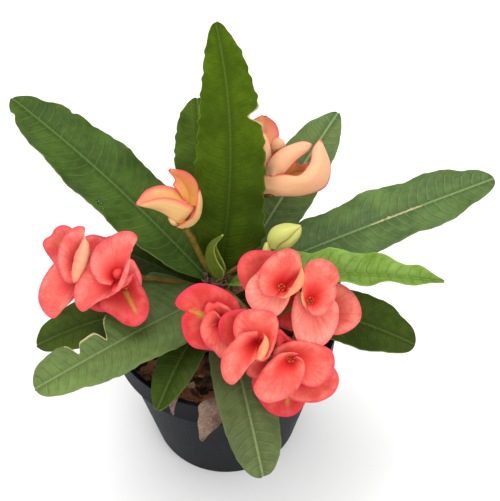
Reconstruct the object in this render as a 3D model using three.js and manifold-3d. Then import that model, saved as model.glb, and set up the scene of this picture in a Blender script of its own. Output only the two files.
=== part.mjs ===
// A large-flowered crown of thorns in a round nursery pot: a woody, spiny stem stands in bark-covered
// potting mix, carries a crown of long leaves, and bears five flower stalks whose blooms are each a
// pair of broad coral bracts around a small cup.
// Millimetres, +Z up. The origin is the centre of the pot's base.
import * as THREE from "three";
import { mergeVertices } from "three/addons/utils/BufferGeometryUtils.js";
import Module from "manifold-3d";

const wasm = await Module();
wasm.setup();

// ---------- driving dimensions ----------
const FIT_GAP = 0.3; // running gap between pieces that touch

const POT = {
  height: 115,
  baseRadius: 48,
  shoulderRadius: 65,
  collarLowRadius: 68.8,
  rimRadius: 70,
  collarHeight: 21,
  wall: 1.6,
  floor: 2.2,
  drainRadius: 5,
  drainCount: 6,
  drainRingRadius: 35,
  sides: 32,
};
const SOIL = { level: 101, mound: 3, chipCount: 18, chipThickness: 2.2, chipClearOfStem: 15 };
const STEM = {
  foot: [1, 1, 62],
  top: [-4, -4, 154],
  footRadius: 9,
  topRadius: 7.5,
  sides: 10,
  rings: 12,
};
const BRANCH = {
  route: [[1, 1, 100], [24, 5, 105], [50, 9, 118], [70, 7, 134]],
  radius: 4.6,
  tipRadius: 3.4,
};
const SPINE = { length: 11, radius: 0.9, rise: 15 };
const BLADE_THICKNESS = 0.8;
const BRACT_THICKNESS = 0.7;

const deg = THREE.MathUtils.degToRad;
const lerp = THREE.MathUtils.lerp;
const clamp01 = (x) => Math.min(1, Math.max(0, x));
const smooth = (x) => THREE.MathUtils.smoothstep(x, 0, 1);

// The unit vector at an azimuth from +X and an elevation from level, in degrees.
const direction = (azimuth, elevation) =>
  new THREE.Vector3(
    Math.cos(deg(elevation)) * Math.cos(deg(azimuth)),
    Math.cos(deg(elevation)) * Math.sin(deg(azimuth)),
    Math.sin(deg(elevation)),
  );

// ---------- solids ----------

// A closed three.js geometry as a manifold-3d solid.
function toSolid(geometry) {
  const bare = geometry.clone();
  bare.deleteAttribute("normal");
  bare.deleteAttribute("uv");
  const merged = mergeVertices(bare, 1e-3);
  return new wasm.Manifold(
    new wasm.Mesh({
      numProp: 3,
      vertProperties: merged.attributes.position.array,
      triVerts: new Uint32Array(merged.index.array),
    }),
  );
}

// A manifold-3d solid as a three.js geometry.
function toGeometry(solid) {
  const mesh = solid.getMesh();
  const positions = new Float32Array(mesh.numVert * 3);
  for (let i = 0; i < mesh.numVert; i++) {
    positions.set(mesh.vertProperties.subarray(i * mesh.numProp, i * mesh.numProp + 3), i * 3);
  }
  return new THREE.BufferGeometry()
    .setAttribute("position", new THREE.BufferAttribute(positions, 3))
    .setIndex(new THREE.BufferAttribute(mesh.triVerts, 1));
}

// The largest of a solid's separate bodies: cuts can leave small scraps, which are dropped.
function largestBody(solid) {
  return solid.decompose().reduce((a, b) => (b.volume() > a.volume() ? b : a));
}

const fuse = (solids) => solids.reduce((a, b) => a.add(b));

// Faces that join rings of equally many points into one closed body with flat ends.
function loft(rings) {
  const count = rings[0].length;
  const points = rings.flat();
  const index = [];
  for (let i = 0; i + 1 < rings.length; i++) {
    for (let j = 0; j < count; j++) {
      const a = i * count + j;
      const b = i * count + ((j + 1) % count);
      index.push(a, b, b + count, a, b + count, a + count);
    }
  }
  const last = (rings.length - 1) * count;
  for (let j = 1; j + 1 < count; j++) {
    index.push(0, j + 1, j, last, last + j, last + j + 1);
  }
  return new THREE.BufferGeometry().setFromPoints(points).setIndex(index);
}

// A round tube along a curve, with its own radius at each ring.
function tube(curve, radiusAt, sides, steps) {
  const { normals, binormals } = curve.computeFrenetFrames(steps, false);
  const rings = [];
  for (let i = 0; i <= steps; i++) {
    const centre = curve.getPointAt(i / steps);
    const ring = [];
    for (let j = 0; j < sides; j++) {
      const angle = (2 * Math.PI * j) / sides;
      const radius = radiusAt(i / steps, angle);
      ring.push(
        centre
          .clone()
          .addScaledVector(normals[i], radius * Math.cos(angle))
          .addScaledVector(binormals[i], radius * Math.sin(angle)),
      );
    }
    rings.push(ring);
  }
  return loft(rings);
}

const curveThrough = (points) =>
  new THREE.CatmullRomCurve3(points.map((p) => (p.isVector3 ? p : new THREE.Vector3(...p))));

// A thin closed sheet over a grid: surfaceAt(i, j) gives the top point, and backAt(i, j) its thickness.
function sheet(rows, columns, surfaceAt, backAt) {
  const top = [];
  for (let i = 0; i <= rows; i++) {
    top.push([]);
    for (let j = 0; j <= columns; j++) top[i].push(surfaceAt(i, j));
  }
  const along = new THREE.Vector3();
  const across = new THREE.Vector3();
  const back = top.map((line, i) =>
    line.map((point, j) => {
      along.subVectors(top[Math.min(i + 1, rows)][j], top[Math.max(i - 1, 0)][j]);
      across.subVectors(line[Math.min(j + 1, columns)], line[Math.max(j - 1, 0)]);
      const normal = new THREE.Vector3().crossVectors(along, across).normalize();
      return point.clone().addScaledVector(normal, -backAt(i, j));
    }),
  );
  const width = columns + 1;
  const size = (rows + 1) * width;
  const index = [];
  const quad = (a, b, c, d) => index.push(a, b, c, a, c, d);
  for (let i = 0; i < rows; i++) {
    for (let j = 0; j < columns; j++) {
      const a = i * width + j;
      const b = a + width;
      quad(a, b, b + 1, a + 1);
      index.push(size + a, size + b + 1, size + b, size + a, size + a + 1, size + b + 1);
    }
  }
  for (let i = 0; i < rows; i++) {
    const left = i * width;
    const right = left + columns;
    quad(left, size + left, size + left + width, left + width);
    quad(right, right + width, size + right + width, size + right);
  }
  for (let j = 0; j < columns; j++) {
    const far = rows * width + j;
    quad(j, j + 1, size + j + 1, size + j);
    quad(far, size + far, size + far + 1, far + 1);
  }
  return new THREE.BufferGeometry().setFromPoints([...top.flat(), ...back.flat()]).setIndex(index);
}

// A repeatable stream of numbers from 0 to 1.
function seeded(seed) {
  let state = seed;
  return () => {
    state = (state * 1664525 + 1013904223) % 4294967296;
    return state / 4294967296;
  };
}

// ---------- pot ----------
function potSolid() {
  const p = POT;
  const collarLow = p.height - p.collarHeight;
  const profile = [
    [0, 0],
    [p.baseRadius - 2, 0],
    [p.baseRadius, 2],
    [p.shoulderRadius, collarLow],
    [p.collarLowRadius, collarLow],
    [p.rimRadius - 0.4, p.height - 1.6],
    [p.rimRadius, p.height - 0.8],
    [p.rimRadius - 0.6, p.height],
    [p.rimRadius - p.wall - 0.6, p.height],
    [p.rimRadius - p.wall - 1.2, p.height - 1.6],
    [p.collarLowRadius - p.wall, collarLow + p.wall],
    [p.shoulderRadius - p.wall, collarLow - p.wall],
    [p.baseRadius - p.wall, p.floor + 1.5],
    [p.baseRadius - p.wall - 1.5, p.floor],
    [0, p.floor],
  ];
  const body = toSolid(
    new THREE.LatheGeometry(profile.map(([r, z]) => new THREE.Vector2(r, z)), p.sides).rotateX(Math.PI / 2),
  );
  const holes = [];
  for (let k = 0; k < p.drainCount; k++) {
    const angle = (2 * Math.PI * (k + 0.5)) / p.drainCount;
    holes.push(
      toSolid(
        new THREE.CylinderGeometry(p.drainRadius, p.drainRadius, 4 * p.floor, 12)
          .rotateX(Math.PI / 2)
          .translate(p.drainRingRadius * Math.cos(angle), p.drainRingRadius * Math.sin(angle), 0),
      ),
    );
  }
  return body.subtract(fuse(holes));
}

// The pot wall's inner radius at a height.
function potInnerRadius(z) {
  const p = POT;
  const collarLow = p.height - p.collarHeight;
  const low = [p.baseRadius - p.wall, p.floor + 1.5];
  const shoulder = [p.shoulderRadius - p.wall, collarLow - p.wall];
  const collar = [p.collarLowRadius - p.wall, collarLow + p.wall];
  const rim = [p.rimRadius - p.wall - 1.2, p.height - 1.6];
  const [a, b] = z < shoulder[1] ? [low, shoulder] : z < collar[1] ? [shoulder, collar] : [collar, rim];
  return lerp(a[0], b[0], (z - a[1]) / (b[1] - a[1]));
}

// ---------- stem ----------
const stemRoute = (extra) => {
  const [footX, footY, footZ] = STEM.foot;
  const [topX, topY, topZ] = STEM.top;
  return curveThrough([
    [footX, footY, footZ - extra],
    [1, 1, 95],
    [-2, -1, 125],
    [topX, topY, topZ + extra],
  ]);
};
const stemAxis = stemRoute(0);

// The stem's axis point at a height, by walking its curve.
function stemPointAt(z) {
  const share = clamp01((z - STEM.foot[2]) / (STEM.top[2] - STEM.foot[2]));
  let best = stemAxis.getPointAt(share);
  for (let k = 0; k <= 200; k++) {
    const point = stemAxis.getPointAt(k / 200);
    if (Math.abs(point.z - z) < Math.abs(best.z - z)) best = point;
  }
  return best;
}

// The stem narrows upwards, swells a little at old leaf scars and rounds off at its tip.
function stemRadius(share, angle) {
  const bumps = 0.35 * Math.sin(3 * angle + 26 * share) + 0.3 * Math.sin(5 * angle - 17 * share);
  const tip = Math.sqrt(1 - Math.pow(clamp01((share - 0.9) / 0.104), 2));
  return (lerp(STEM.footRadius, STEM.topRadius, share) + bumps) * tip;
}

function branchRadius(share, angle) {
  const bumps = 0.25 * Math.sin(3 * angle + 19 * share);
  const tip = Math.sqrt(1 - Math.pow(clamp01((share - 0.93) / 0.073), 2));
  return (lerp(BRANCH.radius, BRANCH.tipRadius, share) + bumps) * tip;
}

const branchAxis = curveThrough(BRANCH.route);

// The stem and its branch as one body, grown by extra on every side.
function woodSolid(extra) {
  return toSolid(tube(stemRoute(extra), (s, a) => stemRadius(s, a) + extra, STEM.sides, STEM.rings)).add(
    toSolid(tube(branchAxis, (s, a) => branchRadius(s, a) + extra, 8, 10)),
  );
}

// Where each spine stands and which way it points: a pair at each leaf scar, on a golden-angle spiral.
function spineSites() {
  const sites = [];
  const pair = (axis, share, angle, radius, length) => {
    const centre = axis.getPointAt(share);
    const tangent = axis.getTangentAt(share);
    const side = new THREE.Vector3(-Math.sin(angle), Math.cos(angle), 0);
    const out = new THREE.Vector3().crossVectors(side, tangent).normalize();
    for (const lean of [-1, 1]) {
      const way = out
        .clone()
        .addScaledVector(side, 0.45 * lean)
        .addScaledVector(tangent, Math.tan(deg(SPINE.rise)))
        .normalize();
      const root = centre.clone().addScaledVector(out, radius - 1.5).addScaledVector(side, 2.2 * lean);
      sites.push({ root, way, length });
    }
  };
  for (let k = 0; k < 20; k++) {
    const share = 0.48 + 0.02 * k;
    const length = SPINE.length * (0.8 + 0.25 * Math.sin(5 * k));
    pair(stemAxis, share, deg(137.5 * k + 20), stemRadius(share, 0), length);
  }
  for (let k = 0; k < 9; k++) {
    const share = 0.2 + 0.085 * k;
    pair(branchAxis, share, deg(137.5 * k + 75), branchRadius(share, 0), SPINE.length * 0.75);
  }
  return sites;
}

function spineSolid({ root, way, length }) {
  const cone = new THREE.ConeGeometry(SPINE.radius, length, 3).translate(0, length / 2, 0);
  cone.applyQuaternion(new THREE.Quaternion().setFromUnitVectors(new THREE.Vector3(0, 1, 0), way));
  return toSolid(cone.translate(root.x, root.y, root.z));
}

// ---------- potting mix ----------

// The height of the mix at a place: a low mound at the stem with lumps.
function soilHeight(x, y) {
  const r = Math.hypot(x, y);
  return (
    SOIL.level +
    SOIL.mound * (1 - smooth(r / 45)) +
    0.9 * Math.sin(0.23 * x + 1.1) * Math.cos(0.19 * y) +
    0.6 * Math.sin(0.41 * y - 0.27 * x)
  );
}

function soilSolid(stemClear) {
  const sides = POT.sides;
  const collarLow = POT.height - POT.collarHeight;
  const wallLevels = [
    POT.floor + FIT_GAP + 1.5,
    collarLow - POT.wall,
    collarLow + POT.wall,
    SOIL.level - 1.5,
  ];
  const topRadii = [60, 48, 36, 24, 12, 1];
  const ring = (radius, zOf) => {
    const points = [];
    for (let j = 0; j < sides; j++) {
      const angle = (2 * Math.PI * j) / sides;
      const x = radius * Math.cos(angle);
      const y = radius * Math.sin(angle);
      points.push(new THREE.Vector3(x, y, zOf(x, y)));
    }
    return points;
  };
  const rings = [ring(POT.baseRadius - POT.wall - 3, () => POT.floor + FIT_GAP)];
  for (const z of wallLevels) rings.push(ring(potInnerRadius(z) - FIT_GAP - 0.15, () => z));
  for (const radius of topRadii) rings.push(ring(radius, soilHeight));
  const mix = toSolid(loft(rings));
  const random = seeded(11);
  const chips = [];
  while (chips.length < SOIL.chipCount) {
    const angle = 2 * Math.PI * random();
    const reach = Math.sqrt(lerp(0.07, 0.83, random())) * 62;
    const length = lerp(9, 17, random());
    const width = lerp(5, 9, random());
    const turn = 2 * Math.PI * random();
    const tilt = lerp(-0.3, 0.3, random());
    const roll = lerp(-0.3, 0.3, random());
    const x = reach * Math.cos(angle);
    const y = reach * Math.sin(angle);
    if (reach - length / 2 < SOIL.chipClearOfStem || reach + length / 2 > 64) continue;
    if (x > 0 && Math.abs(y - 5) < 14) continue; // the branch leans over this side
    const outline = new THREE.Shape([
      new THREE.Vector2(-length / 2, -width * 0.2),
      new THREE.Vector2(-length * 0.1, -width / 2),
      new THREE.Vector2(length / 2, -width * 0.3),
      new THREE.Vector2(length * 0.4, width * 0.35),
      new THREE.Vector2(-length * 0.3, width / 2),
    ]);
    const slab = new THREE.ExtrudeGeometry(outline, { depth: SOIL.chipThickness, bevelEnabled: false })
      .rotateY(tilt)
      .rotateX(roll)
      .rotateZ(turn)
      .translate(x, y, soilHeight(x, y) - 0.9);
    chips.push(toSolid(slab));
  }
  return largestBody(fuse([mix, ...chips]).subtract(stemClear));
}

// ---------- leaves ----------
// azimuth, rise and bend are in degrees: azimuth 0 is +X, rise runs from base to tip, bend turns the
// leaf sideways along its length, and fold lifts both margins. widest is the share of the length with
// the full width, and blunt rounds the tip. Each nick is a tear in the margin: side, place along the
// blade, depth as a share of the half width, and spread. start is how far from the stem's axis it begins.
const LEAVES = {
  leaf_upright: {
    azimuth: 71, foot: 150, rise: [56, 47], bend: 39, length: 145, width: 41, widest: 0.3, blunt: 0.56,
    fold: 10, wave: 1.5, waves: 6, phase: 0.1, steps: 16, nicks: [[-1, 0.63, 0.36, 0.02]],
  },
  leaf_back_left: {
    azimuth: 99, foot: 140, rise: [36, 16], bend: -4, length: 117, width: 35, widest: 0.5, blunt: 0.5,
    fold: 10, wave: 1.2, waves: 4, phase: 0.4, steps: 10, nicks: [],
  },
  leaf_back_right: {
    azimuth: 52, foot: 131, rise: [33, 26], bend: 0, length: 128, width: 38, widest: 0.48, blunt: 0.62,
    fold: 9, wave: 1.2, waves: 3, phase: 0.2, steps: 10, nicks: [],
  },
  leaf_left: {
    azimuth: 145, foot: 145, rise: [34, 11], bend: -4, length: 162, width: 45, widest: 0.42, blunt: 0.52,
    fold: 8, wave: 1.6, waves: 4, phase: 0, steps: 12,
    nicks: [[-1, 0.79, 0.1, 0.012], [1, 0.93, 0.16, 0.014]],
  },
  leaf_right: {
    azimuth: 13, foot: 145, rise: [19, 14], bend: 2, length: 167, width: 42, widest: 0.52, blunt: 0.48,
    fold: 8, wave: 1.8, waves: 4, phase: 0.6, steps: 12, nicks: [],
  },
  leaf_young_right: {
    azimuth: -13, foot: 147.5, rise: [28, 10], bend: -5, length: 131, width: 28, widest: 0.4, blunt: 0.75,
    fold: 25, wave: 2, waves: 5, phase: 0.3, steps: 15, nicks: [],
  },
  leaf_low_right: {
    azimuth: -16, foot: 130, rise: [18, -16], bend: -4, length: 116, width: 40, widest: 0.52, blunt: 0.45,
    fold: 6, wave: 1.4, waves: 3, phase: 0.5, steps: 10, nicks: [],
  },
  leaf_front: {
    azimuth: -80, foot: 127, rise: [24, -51], bend: 8, length: 116, width: 33, widest: 0.55, blunt: 0.45,
    fold: 8, wave: 1.2, waves: 3, phase: 0.2, steps: 10, nicks: [],
  },
  leaf_front_small: {
    azimuth: -117, foot: 124, rise: [19, -26], bend: 4, length: 78, width: 24, widest: 0.5, blunt: 0.6,
    fold: 8, wave: 0.6, waves: 2, phase: 0, steps: 8, nicks: [],
  },
  leaf_front_left: {
    azimuth: -149, foot: 136.4, rise: [19, -22], bend: 12, length: 122, width: 41, widest: 0.42, blunt: 0.6,
    fold: 7, wave: 1.3, waves: 3, phase: 0.4, steps: 11,
    nicks: [[-1, 0.76, 0.3, 0.016], [-1, 0.6, 0.5, 0.026]],
  },
  leaf_low_left: {
    azimuth: -168, foot: 124, rise: [18, -17], bend: 6, length: 108, width: 30, widest: 0.55, blunt: 0.5,
    fold: 7, wave: 0.9, waves: 3, phase: 0.2, steps: 9, nicks: [],
  },
  leaf_hidden_left: {
    azimuth: 157, foot: 129, rise: [20, -10], bend: -8, length: 80, width: 27, widest: 0.55, blunt: 0.5,
    fold: 8, wave: 0.9, waves: 3, phase: 0.7, steps: 8, nicks: [],
  },
  leaf_bud: {
    azimuth: 192, foot: 153, rise: [50, 140], bend: 0, length: 42, width: 12, widest: 0.42, blunt: 0.9,
    fold: 62, wave: 0, waves: 1, phase: 0, steps: 8, nicks: [], start: -3.4,
  },
};
const LEAF_COLUMNS = [-1, -0.55, 0, 0.55, 1];

// The half width of a blade at a share of its length: a narrow foot, a broad middle and a round tip.
function halfWidth(leaf, s, side) {
  const b = leaf.blunt;
  const a = (b * leaf.widest) / (1 - leaf.widest);
  const x = clamp01(s);
  const beta = Math.pow(x / leaf.widest, a * 1.25) * Math.pow((1 - x) / (1 - leaf.widest), b);
  const shoulder = 1 - Math.exp(-x / 0.07);
  const foot = 2.4 * Math.exp(-x / 0.1);
  let half = Math.max(0.6, (leaf.width / 2) * beta * shoulder + foot);
  for (const [nickSide, place, depth, spread] of leaf.nicks) {
    if (nickSide === side) half *= 1 - depth * Math.exp(-Math.pow((x - place) / spread, 2));
  }
  return half;
}

// The blade's top surface: s runs from foot to tip, v from the right margin (-1) to the left (1).
function leafSurface(leaf) {
  const fine = 70;
  const frames = [];
  const point = stemPointAt(leaf.foot).addScaledVector(direction(leaf.azimuth, 0), leaf.start ?? 5.5);
  for (let i = 0; i <= fine; i++) {
    const s = i / fine;
    const azimuth = leaf.azimuth + leaf.bend * s;
    const tangent = direction(azimuth, lerp(leaf.rise[0], leaf.rise[1], (smooth(s) + s) / 2));
    const side = direction(azimuth + 90, 0);
    const normal = new THREE.Vector3().crossVectors(tangent, side);
    frames.push({ point: point.clone(), tangent, side, normal });
    point.addScaledVector(tangent, leaf.length / fine);
  }
  return (s, v) => {
    const x = Math.min(fine - 1e-6, s * fine);
    const i = Math.floor(x);
    const t = x - i;
    const a = frames[i];
    const b = frames[i + 1];
    const centre = a.point.clone().lerp(b.point, t);
    const side = a.side.clone().lerp(b.side, t);
    const normal = a.normal.clone().lerp(b.normal, t);
    const half = halfWidth(leaf, s, Math.sign(v)) * Math.abs(v);
    const fold = deg(leaf.fold) * smooth(Math.min(1, s / 0.15 + 0.3));
    const ripple =
      leaf.wave *
      smooth(s / 0.25) *
      smooth((1 - s) / 0.12) *
      Math.pow(Math.abs(v), 1.6) *
      Math.sin(2 * Math.PI * (leaf.waves * s + leaf.phase + (v > 0 ? 0.37 : 0)));
    return centre
      .addScaledVector(side, Math.sign(v) * half * Math.cos(fold))
      .addScaledVector(normal, half * Math.sin(fold) + ripple);
  };
}

// The shares of the length where a blade has a row of points: closer at the tip, and three at a nick.
function leafRows(leaf) {
  const shares = [];
  for (let i = 0; i <= leaf.steps; i++) shares.push(1 - Math.pow(1 - i / leaf.steps, 1.35));
  const clearOfNicks = (s) => leaf.nicks.every(([, place, , spread]) => Math.abs(s - place) > 2 * spread);
  const kept = shares.filter(clearOfNicks);
  for (const [, place, , spread] of leaf.nicks) kept.push(place - 1.6 * spread, place, place + 1.6 * spread);
  return kept.sort((a, b) => a - b);
}

function leafSolid(leaf) {
  const surface = leafSurface(leaf);
  const rows = leafRows(leaf);
  const columns = LEAF_COLUMNS.length - 1;
  const midribDepth = (s) => 1.5 * (1 - s);
  return toSolid(
    sheet(
      rows.length - 1,
      columns,
      (i, j) => surface(rows[i], LEAF_COLUMNS[j]),
      (i, j) => BLADE_THICKNESS + (LEAF_COLUMNS[j] === 0 ? midribDepth(rows[i]) : 0),
    ),
  );
}

// ---------- blooms ----------
// A bract is a scoop around the bloom's axis. root is its slope where it leaves the cup, flare the
// slope of its lip, wrap the slope of its side margins, all in degrees above the plane across the
// axis, and spread is how far its margins reach round the axis from its midrib.
const STAGES = {
  open: {
    inner: { root: 80, flare: 18, wrap: 74, spread: 138, broad: 0.42 },
    outer: { root: 74, flare: 6, wrap: 40, spread: 106, broad: 0.5 },
  },
  cupped: {
    inner: { root: 82, flare: 32, wrap: 84, spread: 138, broad: 0.5 },
    outer: { root: 76, flare: 34, wrap: 58, spread: 112, broad: 0.5 },
  },
  kidney: {
    inner: { root: 80, flare: 24, wrap: 70, spread: 130, broad: 0.5 },
    outer: { root: 70, flare: 8, wrap: 36, spread: 116, broad: 0.72 },
  },
  opening: {
    inner: { root: 62, flare: 26, wrap: 100, spread: 98, broad: 0.5 },
    outer: { root: 34, flare: 118, wrap: 96, spread: 92, broad: 0.6 },
  },
  hooded: {
    inner: { root: 50, flare: 80, wrap: 100, spread: 96, broad: 0.5 },
    outer: { root: 26, flare: 106, wrap: 92, spread: 96, broad: 0.6 },
  },
  bud: {
    inner: { root: 30, flare: 132, wrap: 124, spread: 90, broad: 0.62 },
    outer: { root: 28, flare: 130, wrap: 123, spread: 92, broad: 0.62 },
  },
};
// at is the cup's place. faces is the azimuth and elevation that the bloom looks along. inner and
// outer give each bract's way, in degrees anticlockwise from uphill seen from in front, and length.
const BUNCHES = {
  main: {
    from: { foot: 141, azimuth: -58, rise: 30 },
    hub: [23, -38, 149],
    colour: 0xf2665e,
    blooms: {
      upper: { at: [33, -37, 184], faces: [-92, 56], inner: [7, 28], outer: [156, 24], stage: "open" },
      right: { at: [48.5, -42, 179], faces: [-80, 52], inner: [-18, 28], outer: [188, 28], stage: "open" },
      left: { at: [-1, -47, 167], faces: [-104, 46], inner: [200, 26], outer: [52, 27], stage: "kidney" },
      middle: { at: [21.5, -62, 171], faces: [-104, 44], inner: [149, 31], outer: [6, 24], stage: "open" },
      lower: { at: [38, -66, 159], faces: [-86, 50], inner: [123, 30], outer: [-80, 27], stage: "open" },
      rear_left: { at: [27.5, -29, 180], faces: [-90, 68], inner: [72, 25], outer: [-20, 18], stage: "open" },
      rear_right: { at: [56, -35, 158], faces: [-66, 54], inner: [-88, 27], outer: [-99, 18], stage: "open" },
      under: { at: [39, -69, 147], faces: [-80, 44], inner: [-110, 26], outer: [166, 27], stage: "open" },
    },
  },
  left: {
    from: { foot: 133, azimuth: 172, rise: 20 },
    hub: [-49, -3, 150.3],
    colour: 0xf2606a,
    blooms: {
      front: { at: [-59, -20, 169], faces: [-98, 60], inner: [-22, 33], outer: [130, 30], stage: "open" },
      middle: { at: [-82, -12, 163], faces: [-150, 48], inner: [10, 31], outer: [200, 34], stage: "open" },
      rear: { at: [-88, 6, 158], faces: [-100, 60], inner: [52, 26], outer: [-60, 20], stage: "open" },
      under: { at: [-51, -16, 158], faces: [-90, 50], inner: [-144, 28], outer: [-64, 20], stage: "open" },
    },
  },
  young_left: {
    from: { foot: 149.5, azimuth: 138, rise: 64 },
    hub: [-19, 2, 178],
    colour: 0xf4a878,
    blooms: {
      single: { at: [-22, 4, 191], faces: [130, 76], inner: [-118, 31], outer: [50, 43], stage: "opening" },
    },
  },
  young_right: {
    from: { foot: 139, azimuth: 52, rise: 34 },
    hub: [31, 26, 167],
    colour: 0xf3a184,
    blooms: {
      right: { at: [38, 34, 183], faces: [60, 50], inner: [-66, 30], outer: [100, 40], stage: "hooded" },
      rear: { at: [20, 50, 191], faces: [-80, 58], inner: [180, 22], outer: [8, 34], stage: "open" },
    },
  },
  bud: {
    from: { foot: 147.5, azimuth: 14, rise: 36 },
    hub: [27, 3, 168],
    colour: 0xc9cf72,
    blooms: {
      single: { at: [32, -3, 176], faces: [-10, 62], inner: [-50, 30], outer: [130, 30], stage: "bud" },
    },
  },
};
const BRACT_RINGS = 3;
const BRACT_SPOKES = 8;
const CUP = { radius: 2.6, depth: 3, rise: 2.2 };

// A bract's length along a spoke: a broad oval outline with rounded shoulders and a pointed tip.
function bractReach(size, theta, spread, broad) {
  const edge = Math.abs(theta) / spread;
  const oval = 1 - (1 - broad) * Math.pow(1 - Math.cos(theta), 0.84);
  const point = 0.04 * Math.exp(-Math.pow(theta / 0.16, 2));
  return size * (oval + point) * lerp(1, 0.5, Math.pow(edge, 6));
}

// How far out and up a bract's surface has come at a share of its length along a spoke.
function bractProfile(form, edge, share) {
  const steps = 10;
  const rim = lerp(form.flare, form.wrap, Math.pow(edge, 1.5));
  let out = 0;
  let up = 0;
  for (let k = 0; k < steps; k++) {
    const along = (share * (k + 0.5)) / steps;
    const slope = deg(lerp(form.root, rim, smooth(along / 0.8)));
    out += (Math.cos(slope) * share) / steps;
    up += (Math.sin(slope) * share) / steps;
  }
  return [out, up];
}

// The bloom's axes: the way it faces, uphill, and to the left of both.
function bloomFrame(bloom) {
  const axis = direction(...bloom.faces);
  const uphill = new THREE.Vector3(0, 0, 1).addScaledVector(axis, -axis.z).normalize();
  return { axis, uphill, left: new THREE.Vector3().crossVectors(axis, uphill) };
}

function bractSolid(bloom, layer) {
  const { axis, uphill, left } = bloomFrame(bloom);
  const form = STAGES[bloom.stage][layer];
  const [turn, size] = bloom[layer];
  const spread = deg(form.spread);
  const root = layer === "inner" ? 1.6 : 2.3;
  const drop = layer === "inner" ? 0.4 : 1.6;
  const surface = (i, j) => {
    const theta = spread * ((2 * j) / BRACT_SPOKES - 1);
    const reach = bractReach(size, theta, spread, form.broad);
    const share = Math.pow(i / BRACT_RINGS, 0.95);
    const [out, up] = bractProfile(form, Math.abs(theta) / spread, share);
    const angle = deg(turn) + theta;
    const away = Math.max(0.8, root + reach * out);
    return new THREE.Vector3(...bloom.at)
      .addScaledVector(uphill, away * Math.cos(angle))
      .addScaledVector(left, away * Math.sin(angle))
      .addScaledVector(axis, reach * up - drop);
  };
  return toSolid(sheet(BRACT_RINGS, BRACT_SPOKES, surface, () => BRACT_THICKNESS));
}

function bloomSolid(bloom) {
  const { axis } = bloomFrame(bloom);
  const { radius, depth, rise } = CUP;
  const outline = [[0, -depth], [0.6 * radius, -depth], [radius, -1.9], [radius, rise - 0.8], [0, rise]];
  const cup = new THREE.LatheGeometry(outline.map(([r, y]) => new THREE.Vector2(r, y)), 6);
  cup.applyQuaternion(new THREE.Quaternion().setFromUnitVectors(new THREE.Vector3(0, 1, 0), axis));
  return fuse([toSolid(cup.translate(...bloom.at)), bractSolid(bloom, "inner"), bractSolid(bloom, "outer")]);
}

// A bunch's stalk runs from inside the stem to its hub, and a stalklet from there to each cup.
function stalkSolid(bunch) {
  const root = stemPointAt(bunch.from.foot);
  const way = direction(bunch.from.azimuth, bunch.from.rise);
  const hub = new THREE.Vector3(...bunch.hub);
  const bow = root.clone().addScaledVector(way, 0.4 * root.distanceTo(hub));
  const main = toSolid(tube(curveThrough([root, bow, hub]), () => 1.8, 6, 6));
  const stalklets = Object.values(bunch.blooms).map((bloom) => {
    const { axis } = bloomFrame(bloom);
    const end = new THREE.Vector3(...bloom.at).addScaledVector(axis, -CUP.depth - FIT_GAP);
    const start = hub.clone().addScaledVector(new THREE.Vector3().subVectors(hub, bow).normalize(), -2.5);
    const ease = end.clone().addScaledVector(axis, -0.35 * start.distanceTo(end));
    return toSolid(tube(curveThrough([start, ease, end]), () => 1.3, 5, 4));
  });
  return fuse([main, ...stalklets]);
}

// ---------- litter on the rim ----------
// A dead leaf that lies from the mix over the pot's rim, and a strip of bark beside it.
const LITTER = {
  dead_leaf: {
    route: [[6, -49, 102.4], [0, -61, 112], [-5, -69.3, 117], [-10, -75.5, 109.4], [-14, -80.5, 96.4]],
    width: 18,
    colour: 0x6f5a50,
  },
  bark_strip: {
    route: [[-29, -50, 102.6], [-30, -56, 113.8], [-33, -60.4, 117], [-35, -63.4, 114], [-36, -65, 104.4]],
    width: 5,
    colour: 0x6a5148,
  },
};

function litterSolid(piece) {
  const curve = curveThrough(piece.route);
  const rows = 8;
  const spread = [-1, 0, 1];
  const surface = (i, j) => {
    const s = i / rows;
    const centre = curve.getPointAt(s);
    const outward = new THREE.Vector3(centre.x, centre.y, 0).normalize();
    const across = new THREE.Vector3(-outward.y, outward.x, 0);
    const v = spread[j];
    const half = Math.max(0.5, (piece.width / 2) * Math.pow(Math.sin(Math.PI * lerp(0.12, 0.985, s)), 0.7));
    return centre
      .addScaledVector(across, v * half * (1 + 0.1 * Math.sin(9 * s + 2 * v)))
      .add(new THREE.Vector3(0, 0, 0.6 * v * v));
  };
  return toSolid(sheet(rows, 2, surface, () => BLADE_THICKNESS));
}

// ---------- assembly ----------
const FINISH = {
  pot: { color: 0x24262b, roughness: 0.45 },
  mix: { color: 0x3a261b, roughness: 0.95 },
  wood: { color: 0x6b5a4a, roughness: 0.85 },
  stalk: { color: 0x6f7238, roughness: 0.6 },
  leaf: { color: 0x4a6b33, roughness: 0.5 },
  youngLeaf: { color: 0x86ad45, roughness: 0.5 },
};

const plant = new THREE.Group();
plant.name = "crown_of_thorns";

function place(name, solid, finish) {
  const material = new THREE.MeshStandardMaterial({ metalness: 0, ...finish });
  const mesh = new THREE.Mesh(toGeometry(solid.simplify(0.03)), material);
  mesh.name = name;
  plant.add(mesh);
}

const woodClear = woodSolid(FIT_GAP);
const leaves = Object.entries(LEAVES).map(([name, leaf]) => [
  name,
  largestBody(leafSolid(leaf).subtract(woodClear)),
]);
const stalks = Object.entries(BUNCHES).map(([name, bunch]) => [
  "stalk_" + name,
  largestBody(stalkSolid(bunch).subtract(woodClear)),
]);
const mix = soilSolid(woodClear);
// a spine that would touch a leaf, a stalk or the mix isn't there
const inTheWay = [mix, ...[...leaves, ...stalks].map(([, solid]) => solid)];
const spines = spineSites()
  .map(spineSolid)
  .filter((spine) => inTheWay.every((solid) => spine.minGap(solid, FIT_GAP) > FIT_GAP / 2));

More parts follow.
